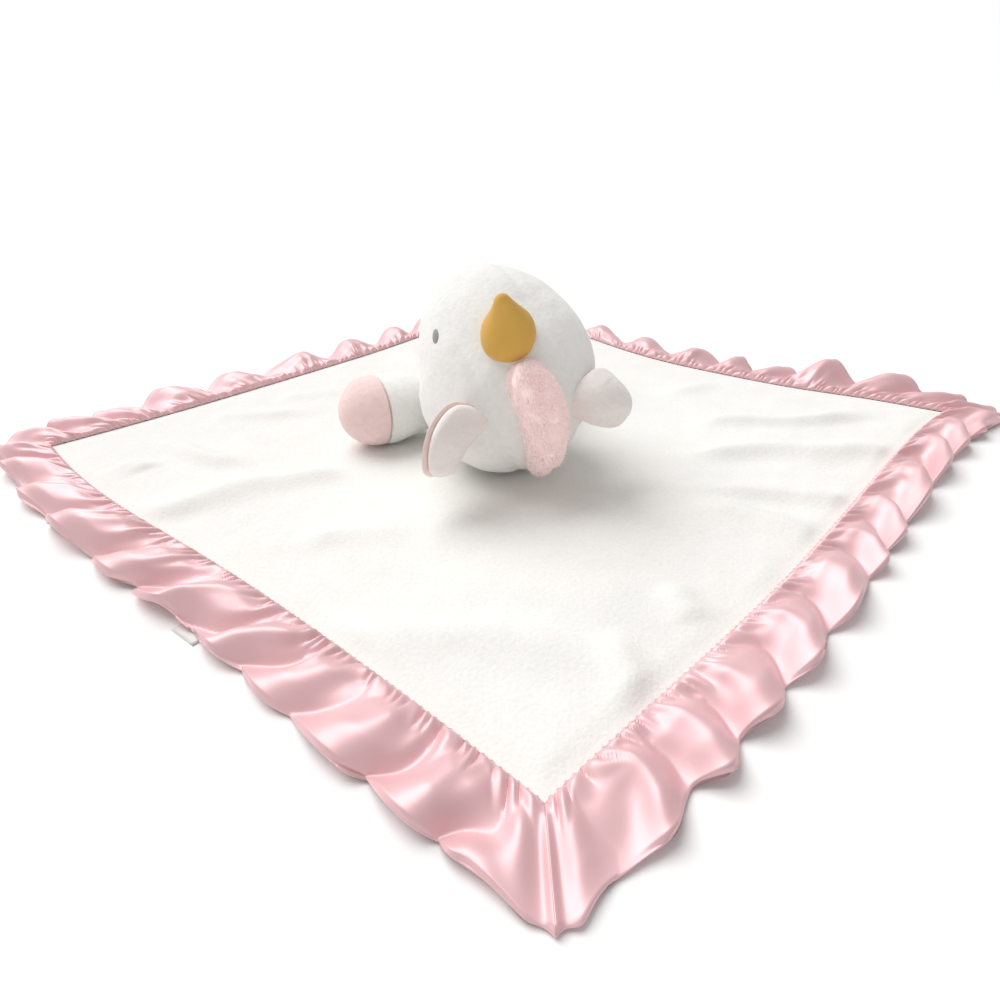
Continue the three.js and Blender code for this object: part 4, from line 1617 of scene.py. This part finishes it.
@dataclass
class Ear:
    """One floppy ear: a plump outer leaf and a lining, sewn to the head along a root line.

    The lines, the bend and the tip are in the head's frame, the last two as shares of the length from the
    root. The left and right ears have their linings to opposite sides, which the face gives as -1 or 1.
    """

    wardrobe: Wardrobe
    skull: Skull
    name: str
    face: int
    spread: float
    forward: float
    bend_shares: Triple
    tip_shares: Triple
    root_line: Triple
    tip_line: Triple
    own_shares: tuple[float, float, float, float] = (1.0, 1.0, 1.0, 1.0)
    own_way_shares: tuple[float, float, float, float] = (0, 0.25, 0.6, 1)
    way_shares: tuple[float, ...] = (0, 0.14, 0.28, 0.38, 0.47, 0.56, 0.66, 0.77, 0.87, 0.935, 1.0)
    wide_shares: tuple[float, ...] = (0.5, 0.74, 0.92, 0.98, 1, 1, 0.97, 0.9, 0.8, 0.68, 0.48)
    length: float = 33.0
    half_width: float = 12.0
    least_half_width: float = 0.4
    cup: float = 3.0
    sunk: float = 1.5
    outer_wall: float = 5.6
    outer_swell: float = 4.4
    outer_padding: float = 0.5
    lining_wall: float = 2.4
    lining_overlap: float = 0.4
    lining_inset: float = 0.3
    lining_swell: float = 0.3
    lining_padding: float = 0.3
    end_share: float = 0.86
    end_size_share: float = 0.5
    end_power: float = 0.5
    side_power: float = 0.8
    rim_power: float = 0.65
    swell_shares: tuple[float, float] = (0.05, 0.97)
    swell_power: float = 0.6
    counts: tuple[int, int] = (60, 64)

    def frame(self, share: np.ndarray) -> tuple[np.ndarray, np.ndarray, np.ndarray, np.ndarray]:
        """Where the leaf lies at shares of its length.

        The middle follows a curve of second degree from the root by way of the bend to the tip. The direction
        across it turns from the root line to the tip line.

        Args:
            share: Share of the length.

        Returns:
            Its middle, its directions across and outward, and half its width.
        """
        spread, forward = math.radians(self.spread), math.radians(self.forward)
        level = math.cos(forward)
        aim = np.array([level * math.sin(spread), math.sin(forward), level * math.cos(spread)])
        root = aim * (self.skull.radius(aim) - self.sunk)
        bend = root + self.length * np.array(self.bend_shares)
        tip = root + self.length * np.array(self.tip_shares)
        s = share[..., None]
        middle = (1 - s) ** 2 * root + 2 * s * (1 - s) * bend + s**2 * tip
        tangent = unit(2 * (1 - s) * (bend - root) + 2 * s * (tip - bend))
        across = unit(mix(unit(np.array(self.root_line)), unit(np.array(self.tip_line)), s))
        outward = unit(np.cross(tangent, across)) * self.face
        wide = np.interp(share, self.way_shares, self.wide_shares)
        own = np.interp(share, self.own_way_shares, self.own_shares)
        return middle, across, outward, self.half_width * wide * own

    def leaf(self, name: str, near: float, far: float, inset: float, swell: float) -> bpy.types.Object:
        """A closed padded leaf between two depths below the ear's outer face, its rim rounded.

        Args:
            name: Name of the piece.
            near: Depth of its outer face in millimetres.
            far: Depth of its inner face.
            inset: Distance of its rim inside the ear's.
            swell: How much its faces bulge at the middle.

        Returns:
            The leaf, not yet dressed.
        """
        rows, columns = self.counts
        around = np.arange(columns) / columns * TURN
        share, turn = np.meshgrid(np.linspace(0, 1, rows), around, indexing="ij")
        middle, across, outward, half = self.frame(share)
        end = smooth(1 - share, 0, 1 - self.end_share) ** self.end_power
        half = np.maximum((half - inset) * mix(self.end_size_share, 1, end), self.least_half_width)
        side = np.sign(np.cos(turn)) * np.abs(np.cos(turn)) ** self.side_power
        thick = (far - near) / 2 * mix(self.end_size_share, 1, end)
        rounded = np.sign(np.sin(turn)) * np.abs(np.sin(turn)) ** self.rim_power
        bulge = np.sin(math.pi * np.clip(share, *self.swell_shares)) ** self.swell_power
        depth = (near + far) / 2 - rounded * (thick + swell * (1 - side**2) * bulge)
        depth = depth + self.cup * share * side**2
        points = middle + across * (half * side)[..., None] - outward * depth[..., None]
        obj = surface(name, self.skull.world(points), Ends.POLES)
        refine(obj)
        return obj

    def build(self) -> None:
        """Makes and dresses the ear's two leaves."""
        outer = self.leaf(f"{self.name}_ear_leaf", 0.0, self.outer_wall, 0.0, self.outer_swell)
        # The outer leaf wears the darker, warmer plush: painted shade on the ears.
        self.wardrobe.dress(outer, Finish.SHADED_EAR, f"{self.name}_ear", f"{self.name}_ear_outer")
        near = self.outer_wall - self.lining_overlap
        far = near + self.lining_wall
        lining = self.leaf(f"{self.name}_ear_pink", near, far, self.lining_inset, self.lining_swell)
        self.wardrobe.dress(lining, Finish.LINING, f"{self.name}_ear", f"{self.name}_ear_lining")


@dataclass
class Arm:
    """One short limb with a pink hoof, stuffed so that it swells to its end.

    Reaches are distances from the shoulder along its axis.
    """

    wardrobe: Wardrobe
    name: str
    side: int
    turn: float
    reach: float = 52.0
    hoof_radius: float = 17.1
    hoof_seam: float = 49.0
    root_radius: float = 9.8
    root_gap: float = 0.05
    shoulder: Triple = (20.0, -6.0, 20.0)
    swell_reaches: tuple[float, float] = (9.0, 44.2)
    hoof_rise: float = 2.2
    seam_depth: float = 0.2
    seam_width: float = 1.8
    gap: float = 0.02
    lumps: Lumps = Lumps(0.25, 17.0, 71)
    lumps_shift: float = 100.0
    padding: float = 0.8
    counts: tuple[int, int, int, int] = (12, 46, 34, 72)

    def radius(self, reach: np.ndarray) -> np.ndarray:
        """Radius of the limb: a swelling leg with a ball at each end, drawn in at the hoof's seam.

        Args:
            reach: Distances from the shoulder, below zero inside it.

        Returns:
            The radius at each reach.
        """
        leg = mix(self.root_radius, self.hoof_radius, smooth(reach, *self.swell_reaches))
        ball = np.sqrt(np.maximum(self.hoof_radius**2 - np.maximum(0, reach - self.reach) ** 2, 0))
        root = np.sqrt(np.maximum(self.root_radius**2 - np.minimum(0, reach) ** 2, 0))
        groove = self.seam_depth * bell((reach - self.hoof_seam) / self.seam_width)
        return np.minimum(np.where(reach < 0, root, leg), ball) - groove

    def form(self, name: str, reaches: np.ndarray) -> bpy.types.Object:
        """A stretch of the limb as a closed piece, lathed about its axis, with slight lumps.

        Args:
            name: Name of the piece.
            reaches: Distances from the shoulder of its rows.

        Returns:
            The piece, not yet dressed.
        """
        around = np.arange(self.counts[-1]) / self.counts[-1] * TURN
        radii = self.radius(reaches)[:, None]
        x, z = radii * np.cos(around), radii * np.sin(around)
        points = np.stack([x, np.broadcast_to(reaches[:, None], x.shape), z], -1)
        lumps = self.lumps.over(points + self.lumps_shift * self.side)
        points += unit(points * np.array([1, 0, 1])) * lumps[..., None]
        run = math.sqrt(self.reach**2 - self.hoof_rise**2)
        angle = math.radians(self.turn)
        aim = Vector((run * math.cos(angle), run * math.sin(angle), self.hoof_rise)).normalized()
        rotation = np.array(Vector((0, 1, 0)).rotation_difference(aim).to_matrix(), float)
        points = points @ rotation.T + np.array(self.shoulder) * np.array([self.side, 1, 1])
        obj = surface(name, points, Ends.POLES)
        refine(obj)
        return obj

    def build(self) -> None:
        """Makes and dresses the limb and its hoof."""
        body = f"{self.name}_arm"
        root_rows, limb_rows, hoof_rows, _ = self.counts
        root = -self.root_radius * np.cos(np.linspace(self.root_gap, QUARTER, root_rows)[:-1])
        reaches = np.linspace(0, self.hoof_seam - self.gap / 2, limb_rows)
        limb = self.form(f"{self.name}_arm_limb", np.concatenate([root, reaches]))
        self.wardrobe.dress(limb, Finish.LIT_TOY, body, f"{self.name}_arm_cover", f"{self.name}_arm_filling")
        end = self.reach + self.hoof_radius
        share = np.sin(np.linspace(0, QUARTER, hoof_rows)[:-1])
        hoof = self.form(f"{self.name}_hoof", mix(self.hoof_seam + self.gap / 2, end, share))
        self.wardrobe.dress(hoof, Finish.HOOF, body, f"{self.name}_hoof_cover")


# Studio


@dataclass
class Studio:
    """A pale floor, soft light from above and behind on the left, a white background and the camera."""

    eye: Triple = (-11.15, -352.67, 153.5)
    yaw: float = -1.034
    tilt: float = 60.306
    roll: float = -1.273
    lens: float = 25.42
    sensor: float = 36.0
    nearest: float = 0.01
    floor_size: float = 20.0
    floor_drop: float = 0.2
    floor_settings: tuple[tuple[str, float | tuple], ...] = (
        ("Base Color", (0.955, 0.955, 0.955, 1)), ("Roughness", 0.9),
    )
    sun_way: Triple = (0.5, -0.42, -1.0)
    sun_strength: float = 2.55
    sun_softness: float = 55.0
    surround_colour: Triple = (1.0, 0.99, 0.98)
    surround: float = 0.46

    def floor(self) -> None:
        """A white floor that keeps the shadow."""
        half = self.floor_size / MM / 2
        steps = np.array([-half, half])
        y, x = np.meshgrid(steps, steps, indexing="ij")
        points = np.stack([x, y, np.full(x.shape, -self.floor_drop)], -1)
        obj = surface("floor", points, Ends.OPEN, loop_columns=False)
        obj.data.materials.append(new_material("floor white", dict(self.floor_settings)))

    def sun(self) -> None:
        """A wide soft light from above and behind on the left."""
        light = bpy.data.lights.new("key", "SUN")
        light.energy = self.sun_strength
        light.angle = math.radians(self.sun_softness)
        obj = bpy.data.objects.new("key", light)
        obj.rotation_euler = Vector(self.sun_way).to_track_quat("-Z", "Y").to_euler()
        bpy.context.scene.collection.objects.link(obj)

    def world(self) -> None:
        """A soft white surround that lights evenly, seen by the camera as plain white."""
        world = bpy.data.worlds.new("surround")
        world.use_nodes = True
        tree = world.node_tree
        tree.nodes.clear()
        lit = add_node(tree, "ShaderNodeBackground", {
            "Color": (*self.surround_colour, 1), "Strength": self.surround,
        })
        seen = add_node(tree, "ShaderNodeBackground", {"Color": (1, 1, 1, 1), "Strength": 1.0})
        rays = add_node(tree, "ShaderNodeLightPath", {}).outputs
        either = add_math(tree, "MAXIMUM", rays["Is Camera Ray"], rays["Is Transmission Ray"])
        blend = add_node(tree, "ShaderNodeMixShader", {"Fac": either, 1: lit.outputs[0], 2: seen.outputs[0]})
        add_node(tree, "ShaderNodeOutputWorld", {"Surface": blend.outputs[0]})
        bpy.context.scene.world = world

    def camera(self) -> None:
        """The camera where the photo was taken from."""
        data = bpy.data.cameras.new("camera")
        data.lens = self.lens
        data.sensor_width = self.sensor
        data.clip_start = self.nearest
        obj = bpy.data.objects.new("camera", data)
        turns = ((self.yaw, "Z"), (self.tilt, "X"), (self.roll, "Z"))
        yaw, tilt, roll = (Matrix.Rotation(math.radians(angle), 4, axis) for angle, axis in turns)
        obj.matrix_world = Matrix.Translation(Vector(self.eye) * MM) @ yaw @ tilt @ roll
        bpy.context.scene.collection.objects.link(obj)
        bpy.context.scene.camera = obj

    def build(self) -> None:
        """Sets up the studio."""
        self.floor()
        self.sun()
        self.world()
        self.camera()
        bpy.context.scene.view_settings.view_transform = "Standard"


# Assembly


def main() -> None:
    """Builds the whole scene, piece by piece."""
    logging.basicConfig(level=logging.INFO, format="%(message)s")
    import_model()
    wardrobe = Wardrobe()
    torso = Torso(wardrobe)
    head = Head(wardrobe)
    log.info("blanket")
    Blanket(wardrobe, torso.shoulder[:2]).build()
    log.info("toy")
    torso.build()
    head.build()
    Ear(
        wardrobe, head.skull, "left", face=-1, spread=-31.0, forward=4.0,
        bend_shares=(-0.50, 0.24, 0.20), tip_shares=(-0.615, -0.35, 0.13),
        root_line=(0.46, 0.89, 0.02), tip_line=(-0.47, 0.16, 0.87), own_shares=(0.65, 0.93, 1.25, 1.15),
    ).build()
    Ear(
        wardrobe, head.skull, "right", face=1, spread=19.5, forward=-7.0,
        bend_shares=(0.5, -0.05, 0.24), tip_shares=(0.72, -0.5, -0.09),
        root_line=(0.5, 0.82, -0.22), tip_line=(0.35, 0.83, -0.46),
    ).build()
    Arm(wardrobe, "left", side=-1, turn=208.0).build()
    Arm(wardrobe, "right", side=1, turn=78.0).build()
    log.info("studio")
    Studio().build()


if __name__ == "__main__":
    main()
